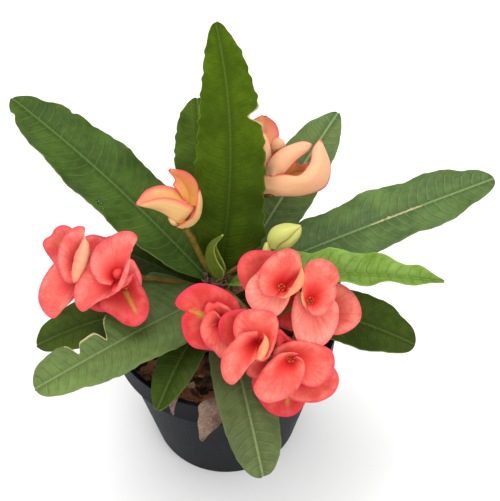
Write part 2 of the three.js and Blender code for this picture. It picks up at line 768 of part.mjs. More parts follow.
place("pot", potSolid(), FINISH.pot);
place("potting_mix", mix, FINISH.mix);
place("stem", fuse([woodSolid(0), ...spines]), FINISH.wood);
for (const [name, solid] of stalks) place(name, solid, FINISH.stalk);
for (const [name, solid] of leaves) {
  const young = name === "leaf_young_right" || name === "leaf_bud";
  place(name, solid, young ? FINISH.youngLeaf : FINISH.leaf);
}
for (const [bunchName, bunch] of Object.entries(BUNCHES)) {
  for (const [name, bloom] of Object.entries(bunch.blooms)) {
    place(`bloom_${bunchName}_${name}`, bloomSolid(bloom), { color: bunch.colour, roughness: 0.55 });
  }
}
for (const [name, piece] of Object.entries(LITTER)) {
  place(name, litterSolid(piece), { color: piece.colour, roughness: 0.9 });
}

export default plant;
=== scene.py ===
"""Looks of a potted crown of thorns in bloom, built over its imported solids.

Each class holds one sub-assembly of the plant, with its sizes in millimetres as fields, and has
methods that build its meshes and dress them. Every mesh is made in place, in metres, +Z up, with
the origin at the centre of the pot's base.
"""
import logging
import math
from dataclasses import dataclass, field, replace
from enum import Enum
from typing import Any

import bmesh
import bpy
import numpy as np
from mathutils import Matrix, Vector, noise
from mathutils.bvhtree import BVHTree


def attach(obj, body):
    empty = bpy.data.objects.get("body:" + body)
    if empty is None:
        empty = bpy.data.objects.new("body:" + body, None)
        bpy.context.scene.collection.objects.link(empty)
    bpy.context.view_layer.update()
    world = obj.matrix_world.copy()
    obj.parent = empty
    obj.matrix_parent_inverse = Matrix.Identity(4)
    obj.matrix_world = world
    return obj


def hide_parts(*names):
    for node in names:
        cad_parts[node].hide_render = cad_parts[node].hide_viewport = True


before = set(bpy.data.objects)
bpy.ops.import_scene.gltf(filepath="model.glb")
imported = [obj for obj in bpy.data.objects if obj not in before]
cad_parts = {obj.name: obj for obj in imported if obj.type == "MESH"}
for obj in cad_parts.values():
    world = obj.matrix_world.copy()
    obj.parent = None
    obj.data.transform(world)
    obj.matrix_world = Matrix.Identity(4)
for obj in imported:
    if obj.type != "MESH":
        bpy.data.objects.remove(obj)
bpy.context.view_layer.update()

LOG = logging.getLogger("crown_of_thorns")
MM = 0.001
ROOT = "root"
GOLDEN_ANGLE = 137.5


# ---------- small helpers ----------


def linear(code: str) -> tuple[float, float, float, float]:
    """Turns an sRGB hex colour into the linear values that shaders take.

    Args:
        code: The colour as "#rrggbb".

    Returns:
        Red, green and blue, and an alpha of one.
    """
    parts = [int(code[k:k + 2], 16) / 255 for k in (1, 3, 5)]
    red, green, blue = [c / 12.92 if c <= 0.04045 else ((c + 0.055) / 1.055) ** 2.4 for c in parts]
    return red, green, blue, 1.0


def add(tree: bpy.types.NodeTree, kind: str, settings: dict | None = None, links: dict | None = None) -> Any:
    """Adds a node with its settings and links.

    Args:
        tree: The node tree that gets the node.
        kind: The node's type.
        settings: Values by property name, or by input name, identifier or number.
        links: What feeds each input: a node, for its first live output, or a pair of node and output.

    Returns:
        The new node.
    """
    node = tree.nodes.new(kind)

    def socket(group: Any, key: Any) -> Any:
        """Finds a socket by number, identifier or name."""
        if isinstance(key, int):
            return group[key]
        same = [s for s in group if s.identifier == key] or [s for s in group if s.name == key and s.enabled]
        return same[0]

    for key, value in (settings or {}).items():
        if isinstance(key, str) and key[0].islower() and hasattr(node, key):
            setattr(node, key, value)
        else:
            socket(node.inputs, key).default_value = value
    for key, source in (links or {}).items():
        giver, name = source if isinstance(source, tuple) else (source, None)
        if name is None:
            output = next(s for s in giver.outputs if s.enabled)
        else:
            output = socket(giver.outputs, name)
        tree.links.new(output, socket(node.inputs, key))
    return node


def blank_material(name: str) -> tuple[bpy.types.Material, bpy.types.NodeTree]:
    """Makes a material whose node tree is still empty.

    Args:
        name: The material's name.

    Returns:
        The material and its tree.
    """
    made = bpy.data.materials.new(name)
    made.use_nodes = True
    made.node_tree.nodes.clear()
    return made, made.node_tree


def geometry_tree(name: str, **kinds: str) -> tuple[bpy.types.NodeTree, Any]:
    """Opens a geometry node tree.

    Args:
        name: The tree's name.
        kinds: The kind of each input after the geometry.

    Returns:
        The tree and its input node.
    """
    tree = bpy.data.node_groups.new(name, "GeometryNodeTree")
    for key, kind in {"Geometry": "Geometry", **kinds}.items():
        tree.interface.new_socket(key, in_out="INPUT", socket_type="NodeSocket" + kind)
    tree.interface.new_socket("Geometry", in_out="OUTPUT", socket_type="NodeSocketGeometry")
    return tree, add(tree, "NodeGroupInput")


def stand(name: str, data: Any) -> Any:
    """Makes an object of the data and links it to the scene."""
    made = bpy.data.objects.new(name, data)
    bpy.context.scene.collection.objects.link(made)
    return made


def smooth(x: Any) -> Any:
    """The smoothstep of x between 0 and 1."""
    t = np.clip(x, 0.0, 1.0)
    return t * t * (3 - 2 * t)


def lerp(a: Any, b: Any, t: Any) -> Any:
    """The value at share t of the way from a to b."""
    return a + (b - a) * t


def direction(azimuth: Any, elevation: Any) -> np.ndarray:
    """The unit vector at an azimuth from +X and an elevation from level, both in degrees."""
    a, e = np.radians(azimuth), np.radians(elevation)
    return np.stack([np.cos(e) * np.cos(a), np.cos(e) * np.sin(a), np.sin(e) + 0 * a], axis=-1)


def unit(v: np.ndarray) -> np.ndarray:
    """Vectors of length one along v."""
    return v / np.maximum(np.linalg.norm(v, axis=-1, keepdims=True), 1e-9)


def make_object(
    name: str, points: np.ndarray, faces: list, values: dict[str, np.ndarray] | None = None
) -> Any:
    """Makes a smooth mesh object from points in millimetres.

    Args:
        name: The object's name.
        points: One row of x, y, z for each vertex.
        faces: Vertex numbers of each face, outward side first.
        values: Numbers for each vertex, by attribute name.

    Returns:
        The new object, linked to the scene.
    """
    mesh = bpy.data.meshes.new(name)
    mesh.from_pydata((np.asarray(points) * MM).tolist(), [], faces)
    for key, numbers in (values or {}).items():
        layer = mesh.attributes.new(key, "FLOAT", "POINT")
        layer.data.foreach_set("value", np.asarray(numbers, np.float32).ravel())
    mesh.polygons.foreach_set("use_smooth", [True] * len(mesh.polygons))
    return stand(name, mesh)


def settle(piece: Any, slot: str, *nodes: str) -> Any:
    """Lets a finished piece ride on the plant and stand for its CAD nodes.

    Args:
        piece: The finished object.
        slot: The record's material slot; not used.
        nodes: The CAD nodes that it replaces.

    Returns:
        The piece.
    """
    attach(piece, ROOT)
    if nodes:
        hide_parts(*nodes)
    LOG.info("%s: %d faces", piece.name, len(piece.data.polygons))
    return piece


def ring_faces(rings: int, sides: int, start: int = 0) -> list:
    """Faces that join closed rings of points, with a flat cap at each end.

    Args:
        rings: How many rings there are.
        sides: Points in a ring.
        start: The number of the first ring's first point.

    Returns:
        The point numbers of each face.
    """
    faces = []
    for i in range(rings - 1):
        for j in range(sides):
            a, b = start + i * sides + j, start + i * sides + (j + 1) % sides
            faces.append((a, b, b + sides, a + sides))
    faces.append(tuple(start + j for j in reversed(range(sides))))
    faces.append(tuple(start + (rings - 1) * sides + j for j in range(sides)))
    return faces


class Route:
    """A smooth curve through points, walked by its length."""

    def __init__(self, points: list) -> None:
        """Samples the centripetal curve.

        Args:
            points: The points that the curve passes, in millimetres.
        """
        p = np.array(points, float)
        p = np.vstack([2 * p[0] - p[1], p, 2 * p[-1] - p[-2]])
        walked = []
        for k in range(1, len(p) - 2):
            x0, x1, x2, x3 = p[k - 1:k + 3]
            d0, d1, d2 = [np.linalg.norm(b - a) ** 0.5 for a, b in ((x0, x1), (x1, x2), (x2, x3))]
            t1 = ((x1 - x0) / d0 - (x2 - x0) / (d0 + d1) + (x2 - x1) / d1) * d1
            t2 = ((x2 - x1) / d1 - (x3 - x1) / (d1 + d2) + (x3 - x2) / d2) * d1
            t = np.linspace(0, 1, 81)[:, None]
            cubic = x1 + t1 * t + (3 * x2 - 3 * x1 - 2 * t1 - t2) * t**2 + (2 * x1 - 2 * x2 + t1 + t2) * t**3
            walked.append(cubic if k == 1 else cubic[1:])
        self.points = np.vstack(walked)
        steps = np.linalg.norm(np.diff(self.points, axis=0), axis=1)
        self.shares = np.concatenate([[0], np.cumsum(steps)]) / steps.sum()
        self.length = float(steps.sum())

    def at(self, share: Any) -> np.ndarray:
        """The points at shares of the length."""
        return np.stack([np.interp(share, self.shares, self.points[:, k]) for k in range(3)], axis=-1)

    def tangent(self, share: Any) -> np.ndarray:
        """The unit directions at shares of the length."""
        s = np.asarray(share, float)
        return unit(self.at(np.minimum(s + 0.01, 1)) - self.at(np.maximum(s - 0.01, 0)))

    def at_height(self, z: float) -> np.ndarray:
        """The curve's point at a height."""
        return self.points[np.argmin(np.abs(self.points[:, 2] - z))]


def blade(name: str, surface: np.ndarray, thickness: np.ndarray, values: dict[str, np.ndarray]) -> Any:
    """Makes a thin closed blade from a grid of points on its front.

    Args:
        name: The object's name.
        surface: Rows by columns of points, in millimetres.
        thickness: The blade's thickness at each point.
        values: Numbers at each point, by attribute name; "under" is added, 1 on the back.

    Returns:
        The blade as an object.
    """
    rows, columns = surface.shape[:2]
    along = np.gradient(surface, axis=0)
    across = np.gradient(surface, axis=1)
    back = surface - unit(np.cross(along, across)) * thickness[..., None]
    size = rows * columns
    cells = [(i * columns + j, (i + 1) * columns + j) for i in range(rows - 1) for j in range(columns - 1)]
    faces = [(a, b, b + 1, a + 1) for a, b in cells]
    faces += [(size + a, size + a + 1, size + b + 1, size + b) for a, b in cells]
    for i in range(rows - 1):
        left, right = i * columns, i * columns + columns - 1
        faces.append((left, size + left, size + left + columns, left + columns))
        faces.append((right, right + columns, size + right + columns, size + right))
    for j in range(columns - 1):
        far = (rows - 1) * columns + j
        faces.append((j, j + 1, size + j + 1, size + j))
        faces.append((far, size + far, size + far + 1, far + 1))
    points = np.vstack([surface.reshape(-1, 3), back.reshape(-1, 3)])
    both = {key: np.concatenate([v.ravel(), v.ravel()]) for key, v in values.items()}
    both["under"] = np.concatenate([np.zeros(size), np.ones(size)])
    return make_object(name, points, faces, both)


def tube_points(route: Route, shares: np.ndarray, radius: Any, sides: int) -> np.ndarray:
    """Points of rings round a curve.

    Args:
        route: The tube's axis.
        shares: Where the rings stand.
        radius: A function of share and angle that gives the radius.
        sides: Points in a ring.

    Returns:
        One row of x, y, z for each point.
    """
    centre, way = route.at(shares), route.tangent(shares)
    side = unit(np.cross(way, [0.31, -0.17, 0.93] if abs(way[0][2]) < 0.7 else [0.97, 0.2, 0.1]))
    other = np.cross(way, side)
    angle = np.linspace(0, 2 * np.pi, sides, endpoint=False)
    s, a = np.meshgrid(shares, angle, indexing="ij")
    reach = radius(s, a)[..., None]
    return (
        centre[:, None]
        + reach * (np.cos(a)[..., None] * side[:, None] + np.sin(a)[..., None] * other[:, None])
    ).reshape(-1, 3)


# ---------- finishes ----------


@dataclass(frozen=True)
class LeafTissue:
    """Living leaf blade: green tissue under a thin waxy cuticle.

    The wax gives a broad soft gloss. Each side vein is a paler thread with painted shade in the dip on its
    lower side, the margin is a pale thread, and painted shade darkens the blade towards its base. wound
    is the colour of a dry tear.
    """

    name: str
    deep: str
    light: str
    rib: str
    rib_spacing: float = 5.6
    rib_strength: float = 0.3
    midrib_strength: float = 0.4
    roughness: float = 0.46
    wax: float = 0.2
    rim: str = "#6f7f45"
    # painted shade towards the base: how far the shadow colour darkens the blade there
    dusk: float = 0.4
    # quilt sets both how far the blade puffs between side veins and how dark the painted shade in each vein's
    # dip is
    quilt: float = 0.5
    back: str = "#66804c"
    shadow: str = "#151d06"
    wound: str = "#b3a57c"

    def material(self) -> bpy.types.Material:
        """Builds the blade's material.

        Returns:
            The material.
        """
        made, tree = blank_material(self.name)
        place = add(tree, "ShaderNodeTexCoord")
        width, order, margin, under, scar, near = [
            (add(tree, "ShaderNodeAttribute", {"attribute_name": key}), "Fac")
            for key in ("width", "order", "margin", "under", "scar", "near")
        ]
        # as cells per metre: drift of 17 mm, patches of 29 mm, a grain of 5 mm and grit of 2.4 mm
        drift, patch, fine, grit = [
            add(
                tree, "ShaderNodeTexNoise", {"Scale": scale, "Detail": 3.0, "Roughness": 0.6},
                {"Vector": (place, "Object")},
            )
            for scale in (60.0, 34.0, 210.0, 420.0)
        ]
        # the finest net of veins, in meshes of about a millimetre
        cells = add(
            tree, "ShaderNodeTexVoronoi", {"feature": "DISTANCE_TO_EDGE", "Scale": 900.0},
            {"Vector": (place, "Object")},
        )
        count = add(tree, "ShaderNodeMath", {"operation": "MULTIPLY_ADD", 1: 1.1}, {0: drift, 2: order})
        part = add(tree, "ShaderNodeMath", {"operation": "FRACT"}, {0: count})
        offset = add(tree, "ShaderNodeMath", {"operation": "SUBTRACT", 1: 0.5}, {0: part})
        gap = add(tree, "ShaderNodeMath", {"operation": "ABSOLUTE"}, {0: offset})
        torn = add(tree, "ShaderNodeMath", {"operation": "MULTIPLY_ADD", 1: 0.9}, {0: grit, 2: scar})
        blotch = add(tree, "ShaderNodeMath", {"operation": "MULTIPLY_ADD", 1: 0.45}, {0: fine, 2: patch})
        line, rise, below, fade, midrib, valley, netted, tone, hem, bare = [
            add(
                tree, "ShaderNodeMapRange",
                {"interpolation_type": "SMOOTHSTEP", 1: low, 2: high, 3: start, 4: end}, {0: source},
            )
            for source, low, high, start, end in (
                (gap, 0.015, 0.085, 1, 0), (part, 0.2, 0.48, 0, 1), (part, 0.47, 0.53, 1, 0),
                (margin, 0.7, 0.95, 1, 0), (width, 0.25, 1.15, 1, 0), (width, 0.8, 4.5, 0.8, 0),
                (cells, 0, 0.12, 0.06, 0), (blotch, 0.5, 0.95, 0, 1), (margin, 0.965, 0.99, 0, 0.6),
                (torn, 0.92, 1.12, 0, 0.9),
            )
        ]
        # dip marks the base side of each side vein, where the painted shade of its ridge lies
        lateral, dip = [
            add(tree, "ShaderNodeMath", {"operation": "MULTIPLY"}, {0: one, 1: other})
            for one, other in ((line, fade), (rise, below))
        ]
        sunk = add(tree, "ShaderNodeMath", {"operation": "MULTIPLY"}, {0: dip, 1: fade})
        # dimmed is the share of painted shade towards the base, and shaded that of the painted shade in each
        # vein's dip
        veined, ribbed, turned, dimmed, shaded = [
            add(tree, "ShaderNodeMath", {"operation": "MULTIPLY", 1: strength}, {0: source})
            for source, strength in (
                (lateral, self.rib_strength), (midrib, self.midrib_strength), (under, 0.4), (near, self.dusk),
                (sunk, self.quilt),
            )
        ]
        colour = add(
            tree, "ShaderNodeMix",
            {"data_type": "RGBA", "A_Color": linear(self.deep), "B_Color": linear(self.light)},
            {"Factor_Float": tone},
        )
        for hue, share in (
            (self.deep, valley), (self.deep, shaded), (self.rib, netted), (self.rib, veined),
            (self.rib, ribbed), (self.rim, hem), (self.back, turned), (self.shadow, dimmed),
            (self.wound, bare),
        ):
            colour = add(
                tree, "ShaderNodeMix", {"data_type": "RGBA", "B_Color": linear(hue)},
                {"Factor_Float": share, "A_Color": (colour, "Result_Color")},
            )
        height = fine
        for source, depth in ((lateral, 0.6), (sunk, -0.9), (midrib, -1.0)):
            height = add(
                tree, "ShaderNodeMath", {"operation": "MULTIPLY_ADD", 1: depth}, {0: source, 2: height}
            )
        bump = add(tree, "ShaderNodeBump", {"Strength": 0.6, "Distance": 0.0006}, {"Height": height})
        gloss = add(
            tree, "ShaderNodeMapRange", {1: 0.3, 2: 0.7, 3: self.roughness - 0.06, 4: self.roughness + 0.1},
            {0: patch},
        )
        skin = add(
            tree, "ShaderNodeBsdfPrincipled", {"IOR": 1.45, "Specular IOR Level": self.wax},
            {"Base Color": (colour, "Result_Color"), "Roughness": gloss, "Normal": bump},
        )
        add(tree, "ShaderNodeOutputMaterial", {}, {"Surface": skin})
        return made


@dataclass(frozen=True)
class BractTissue:
    """Living bract: soft coloured tissue with a deep throat, whose red is partly painted shade deep in
    the cup, a paler lip and a bright thin rim.

    Light passes a little into it. Its fine veins fan out from the root, it is blotched where its colour
    is deep and pale where that is below 0, and a dull yellow streak can run along its midrib. The deep
    colour is partly its own deeper red and partly painted shade on bracts that lie in gaps behind
    others, and the pale is partly a paler pink and partly painted light on bracts that lie in shade.
    """

    name: str
    throat: str
    body: str
    lip: str
    rim: str
    back: str
    shade: str = "#ba2b20"
    streak_colour: str = "#b48a34"
    net: float = 0.24
    fibre: float = 0.3
    hem: float = 0.4
    hem_from: float = 0.9
    pale: str = "#f0a090"

    def material(self) -> bpy.types.Material:
        """Builds the bract's material.

        Returns:
            The material.
        """
        made, tree = blank_material(self.name)
        place = add(tree, "ShaderNodeTexCoord")
        reach, edge, ray, under, streak, deep, blush = [
            (add(tree, "ShaderNodeAttribute", {"attribute_name": key}), "Fac")
            for key in ("reach", "edge", "ray", "under", "streak", "deep", "blush")
        ]
        # as cells per metre: clouds of 8 mm, flecks of 2.4 mm and a fine skin of 1.4 mm
        cloud, flecks, fine = [
            add(
                tree, "ShaderNodeTexNoise", {"Scale": scale, "Detail": 3.0, "Roughness": 0.55},
                {"Vector": (place, "Object")},
            )
            for scale in (120.0, 420.0, 700.0)
        ]
        fan = add(tree, "ShaderNodeCombineXYZ", {}, {"X": ray, "Y": reach})
        wide = add(tree, "ShaderNodeMapping", {"Scale": (9.0, 5.0, 1.0)}, {"Vector": fan})
        mesh = add(
            tree, "ShaderNodeTexVoronoi", {"feature": "DISTANCE_TO_EDGE", "Scale": 1.0, "Randomness": 0.9},
            {"Vector": wide},
        )
        long = add(tree, "ShaderNodeMapping", {"Scale": (11.0, 1.2, 1.0)}, {"Vector": fan})
        strand = add(tree, "ShaderNodeTexNoise", {"Scale": 1.0, "Detail": 4.0}, {"Vector": long})
        feather = add(tree, "ShaderNodeMath", {"operation": "MULTIPLY_ADD", 1: 0.9}, {0: flecks, 2: streak})
        # the throat's red reaches about half way out: partly the bract's own colour, partly painted shade
        # deep in the cup
        throat, lip, cloudy, blotch, end, side, veins, strands, lit = [
            add(
                tree, "ShaderNodeMapRange",
                {"interpolation_type": "SMOOTHSTEP", 1: low, 2: high, 3: start, 4: finish}, {0: source},
            )
            for source, low, high, start, finish in (
                (reach, 0.06, 0.56, 0, 1), (reach, 0.3, 0.85, 0, 1), (cloud, 0.38, 0.58, 0.15, 1),
                (cloud, 0.4, 0.62, 1, 0.78), (reach, 0.88, 0.99, 0, 1), (edge, self.hem_from, 1, 0, 1),
                (mesh, 0, 0.1, self.net, 0), (strand, 0.46, 0.66, 0, self.fibre),
                (feather, 0.55, 1.5, 0, 0.95),
            )
        ]
        # the shade colour comes in with the deep share: partly the bract's own deeper red, partly painted
        # shade on bracts that lie in gaps behind others
        paled, dimmed = [
            add(tree, "ShaderNodeMath", {"operation": "MULTIPLY"}, {0: one, 1: other})
            for one, other in ((lip, cloudy), (deep, blotch))
        ]
        # below 0 the deep share brings in the pale colour: partly a paler pink, partly painted light on
        # bracts that lie in shade
        pale_and_painted_light = add(tree, "ShaderNodeMath", {"operation": "MULTIPLY", "use_clamp": True, 1: -1.0}, {0: deep})
        border = add(tree, "ShaderNodeMath", {"operation": "MAXIMUM"}, {0: end, 1: side})
        bright = add(tree, "ShaderNodeMath", {"operation": "MULTIPLY_ADD", 1: 0.4, 2: self.hem}, {0: deep})
        hem = add(
            tree, "ShaderNodeMath", {"operation": "MULTIPLY", "use_clamp": True}, {0: border, 1: bright}
        )
        strong = add(tree, "ShaderNodeMath", {"operation": "MULTIPLY_ADD", 1: 0.8, 2: 1.0}, {0: deep})
        drawn = add(tree, "ShaderNodeMath", {"operation": "MULTIPLY"}, {0: veins, 1: strong})
        bare = add(tree, "ShaderNodeMath", {"operation": "SUBTRACT", 0: 0.85}, {1: blush})
        behind = add(tree, "ShaderNodeMath", {"operation": "MULTIPLY"}, {0: under, 1: bare})
        warmed = add(tree, "ShaderNodeMath", {"operation": "MULTIPLY"}, {0: under, 1: strands})
        colour = add(
            tree, "ShaderNodeMix",
            {"data_type": "RGBA", "A_Color": linear(self.throat), "B_Color": linear(self.body)},
            {"Factor_Float": throat},
        )
        for hue, share in (
            (self.lip, paled), (self.pale, pale_and_painted_light), (self.throat, strands), (self.shade, dimmed),
            (self.rim, drawn), (self.back, behind), (self.lip, warmed), (self.rim, hem),
            (self.streak_colour, lit),
        ):
            colour = add(
                tree, "ShaderNodeMix", {"data_type": "RGBA", "B_Color": linear(hue)},
                {"Factor_Float": share, "A_Color": (colour, "Result_Color")},
            )
        sunk = add(tree, "ShaderNodeMath", {"operation": "MULTIPLY_ADD", 1: -1.2}, {0: veins, 2: fine})
        bump = add(tree, "ShaderNodeBump", {"Strength": 0.3, "Distance": 0.0004}, {"Height": sunk})
        skin = add(
            tree, "ShaderNodeBsdfPrincipled",
            {
                "Roughness": 0.5, "IOR": 1.4, "Specular IOR Level": 0.3, "Subsurface Weight": 0.25,
                "Subsurface Radius": (1.0, 0.35, 0.25), "Subsurface Scale": 0.0015,
            },
            {"Base Color": (colour, "Result_Color"), "Normal": bump},
        )
        add(tree, "ShaderNodeOutputMaterial", {}, {"Surface": skin})
        return made


@dataclass(frozen=True)
class Mottled:
    """A plain natural or moulded surface: two tones in patches, with a grain that can run one way.

    It serves bark, dry leaf, stalk skin, moulded polypropylene and wet potting mix, each with its own
    patch size, grain and roughness.
    """

    name: str
    dark: str
    light: str
    patch_mm: float
    grain_mm: float
    stretch: tuple[float, float, float] = (1.0, 1.0, 1.0)
    roughness: tuple[float, float] = (0.6, 0.8)
    relief_mm: float = 0.2
    speck: str = ""
    speck_share: float = 0.3
    tone_attribute: str = ""
    gloss: float = 0.5

    def material(self) -> bpy.types.Material:
        """Builds the material.

        Returns:
            The material.
        """
        made, tree = blank_material(self.name)
        place = add(tree, "ShaderNodeTexCoord")
        run = add(tree, "ShaderNodeMapping", {"Scale": self.stretch}, {"Vector": (place, "Object")})
        patch = add(
            tree, "ShaderNodeTexNoise",
            {"Scale": 1000 / self.patch_mm, "Detail": 5.0, "Roughness": 0.62}, {"Vector": run},
        )
        grain = add(
            tree, "ShaderNodeTexNoise",
            {"Scale": 1000 / self.grain_mm, "Detail": 4.0, "Roughness": 0.7}, {"Vector": run},
        )
        mixed = add(tree, "ShaderNodeMath", {"operation": "ADD"}, {0: patch, 1: grain})
        if self.tone_attribute:
            tone = add(tree, "ShaderNodeAttribute", {"attribute_name": self.tone_attribute})
            mixed = add(
                tree, "ShaderNodeMath", {"operation": "MULTIPLY_ADD", 1: 0.7}, {0: (tone, "Fac"), 2: mixed}
            )
        low = 0.9 if self.tone_attribute else 0.72
        share = add(
            tree, "ShaderNodeMapRange",
            {"interpolation_type": "SMOOTHSTEP", 1: low, 2: low + 0.6}, {0: mixed},
        )
        colour = add(
            tree, "ShaderNodeMix",
            {"data_type": "RGBA", "A_Color": linear(self.dark), "B_Color": linear(self.light)},
            {"Factor_Float": share},
        )
        if self.speck:
            dust = add(
                tree, "ShaderNodeTexNoise",
                {"Scale": 1000 / (self.grain_mm * 1.7), "Detail": 6.0, "Roughness": 0.75},
                {"Vector": (place, "Object")},
            )
            lying = add(
                tree, "ShaderNodeMapRange",
                {"interpolation_type": "SMOOTHSTEP", 1: 0.56, 2: 0.72, 3: 0.0, 4: self.speck_share},
                {0: dust},
            )
            colour = add(
                tree, "ShaderNodeMix", {"data_type": "RGBA", "B_Color": linear(self.speck)},
                {"Factor_Float": lying, "A_Color": (colour, "Result_Color")},
            )
        gloss = add(
            tree, "ShaderNodeMapRange", {1: 0.3, 2: 0.7, 3: self.roughness[0], 4: self.roughness[1]},
            {0: grain},
        )
        bump = add(
            tree, "ShaderNodeBump", {"Strength": 0.8, "Distance": self.relief_mm * MM}, {"Height": mixed}
        )
        skin = add(
            tree, "ShaderNodeBsdfPrincipled", {"IOR": 1.47, "Specular IOR Level": self.gloss},
            {"Base Color": (colour, "Result_Color"), "Roughness": gloss, "Normal": bump},
        )
        add(tree, "ShaderNodeOutputMaterial", {}, {"Surface": skin})
        return made


@dataclass(frozen=True)
class WaterFilm:
    """Clean water in a standing drop: clear, very smooth, IOR 1.33."""

    name: str = "water_drop"

    def material(self) -> bpy.types.Material:
        """Builds the drop's material.

        Returns:
            The material.
        """
        made, tree = blank_material(self.name)
        skin = add(
            tree, "ShaderNodeBsdfPrincipled",
            {"Base Color": linear("#f4fbf2"), "Roughness": 0.04, "IOR": 1.33, "Transmission Weight": 1.0},
        )
        add(tree, "ShaderNodeOutputMaterial", {}, {"Surface": skin})
        return made


# ---------- repeats, by geometry nodes ----------


class Bit(Enum):
    """The small shapes that repeat on the plant."""

    SPINE = "spine"
    BEAD = "bead"
    FLAKE = "flake"


@dataclass
class Repeats:
    """Many copies of one small shape, each with its own place, way and size."""

    name: str
    bit: Bit
    detail: int = 6
    roughness_mm: float = 0.0
    tone_seed: int = 5
    places: list = field(default_factory=list)
    ways: list = field(default_factory=list)
    sizes: list = field(default_factory=list)
    turns: list = field(default_factory=list)

    def put(self, place: Any, way: Any, size: Any, turn: float = 0.0) -> None:
        """Adds one copy.

        Args:
            place: Where it stands, in millimetres.
            way: The way that its own Z looks.
            size: Its sizes along its own axes, in millimetres.
            turn: Its turn about its own Z, in radians.
        """
        self.places.append(list(place))
        self.ways.append(list(way))
        self.sizes.append(list(size))
        self.turns.append(turn)

    def tree(self) -> bpy.types.NodeTree:
        """Builds the node tree that sets a copy on each point.

        Returns:
            The tree, with inputs named Detail, Roughness and Finish.
        """
        tree, given = geometry_tree(self.name, Detail="Int", Roughness="Float", Finish="Material")
        if self.bit is Bit.SPINE:
            shape = add(
                tree, "GeometryNodeMeshCone",
                {"Side Segments": 4, "Radius Top": 0.04, "Radius Bottom": 0.5, "Depth": 1.0},
                {"Vertices": (given, "Detail")},
            )
        elif self.bit is Bit.BEAD:
            shape = add(
                tree, "GeometryNodeMeshUVSphere", {"Rings": 6, "Radius": 0.5}, {"Segments": (given, "Detail")}
            )
        else:
            shape = add(
                tree, "GeometryNodeMeshCube",
                {"Size": (1, 1, 1), "Vertices Z": 2},
                {"Vertices X": (given, "Detail"), "Vertices Y": (given, "Detail")},
            )
        way = add(tree, "GeometryNodeInputNamedAttribute", {"data_type": "FLOAT_VECTOR", "Name": "way"})
        size = add(tree, "GeometryNodeInputNamedAttribute", {"data_type": "FLOAT_VECTOR", "Name": "size"})
        turn = add(tree, "GeometryNodeInputNamedAttribute", {"data_type": "FLOAT", "Name": "turn"})
        spin = add(tree, "ShaderNodeCombineXYZ", {}, {"Z": turn})
        own = add(tree, "FunctionNodeEulerToRotation", {}, {0: spin})
        facing = add(tree, "FunctionNodeAlignRotationToVector", {"axis": "Z"}, {"Vector": way})
        rotation = add(
            tree, "FunctionNodeRotateRotation", {"rotation_space": "LOCAL"},
            {"Rotation": facing, "Rotate By": own},
        )
        copies = add(
            tree, "GeometryNodeInstanceOnPoints", {},
            {"Points": (given, "Geometry"), "Instance": shape, "Rotation": rotation, "Scale": size},
        )
        solid = add(tree, "GeometryNodeRealizeInstances", {}, {"Geometry": copies})
        # lumps of about 4 mm
        lumps = add(tree, "ShaderNodeTexNoise", {"Scale": 260.0, "Detail": 3.0})
        centred = add(
            tree, "ShaderNodeVectorMath", {"operation": "SUBTRACT", 1: (0.5, 0.5, 0.5)}, {0: (lumps, "Color")}
        )
        pushed = add(
            tree, "ShaderNodeVectorMath", {"operation": "SCALE"}, {0: centred, "Scale": (given, "Roughness")}
        )
        moved = add(tree, "GeometryNodeSetPosition", {}, {"Geometry": solid, "Offset": pushed})
        rounded = add(
            tree, "GeometryNodeSetShadeSmooth", {"Shade Smooth": self.bit is not Bit.FLAKE}, {0: moved}
        )
        dressed = add(
            tree, "GeometryNodeSetMaterial", {}, {"Geometry": rounded, "Material": (given, "Finish")}
        )
        add(tree, "NodeGroupOutput", {}, {0: dressed})
        return tree

    def build(self, finish: bpy.types.Material) -> Any:
        """Turns the copies into one plain mesh object.

        Args:
            finish: The material of every copy.

        Returns:
            The object.
        """
        seed = make_object(self.name + "_points", np.array(self.places), [])
        for key, numbers in (("way", self.ways), ("size", np.array(self.sizes) * MM)):
            layer = seed.data.attributes.new(key, "FLOAT_VECTOR", "POINT")
            layer.data.foreach_set("vector", np.asarray(numbers, np.float32).ravel())
        layer = seed.data.attributes.new("turn", "FLOAT", "POINT")
        layer.data.foreach_set("value", np.asarray(self.turns, np.float32))
        tones = np.random.default_rng(self.tone_seed).random(len(self.places))
        layer = seed.data.attributes.new("tone", "FLOAT", "POINT")
        layer.data.foreach_set("value", tones.astype(np.float32))
        return freeze(
            seed, self.tree(), self.name,
            {"Detail": self.detail, "Roughness": self.roughness_mm * MM, "Finish": finish},
        )


def freeze(seed: Any, tree: bpy.types.NodeTree, name: str, inputs: dict[str, Any]) -> Any:
    """Runs a geometry tree on a seed object and keeps the result as a plain mesh.

    Args:
        seed: The object that the tree starts from; it is removed.
        tree: The geometry node tree.
        name: The name of the result.
        inputs: Values for the tree's named inputs.

    Returns:
        The result as an object.
    """
    modifier = seed.modifiers.new("build", "NODES")
    modifier.node_group = tree
    for socket in tree.interface.items_tree:
        if socket.in_out == "INPUT" and socket.name in inputs:
            modifier[socket.identifier] = inputs[socket.name]
    graph = bpy.context.evaluated_depsgraph_get()
    mesh = bpy.data.meshes.new_from_object(seed.evaluated_get(graph), depsgraph=graph)
    mesh.name = name
    seed.modifiers.clear()
    bpy.data.objects.remove(seed)
    return stand(name, mesh)


def join(name: str, parts: list) -> Any:
    """Joins finished objects into one.

    Args:
        name: The name of the result.
        parts: The objects; the first one keeps its data.

    Returns:
        The joined object.
    """
    with bpy.context.temp_override(active_object=parts[0], selected_editable_objects=parts):
        bpy.ops.object.join()
    parts[0].name = name
    return parts[0]


# ---------- pot and potting mix ----------


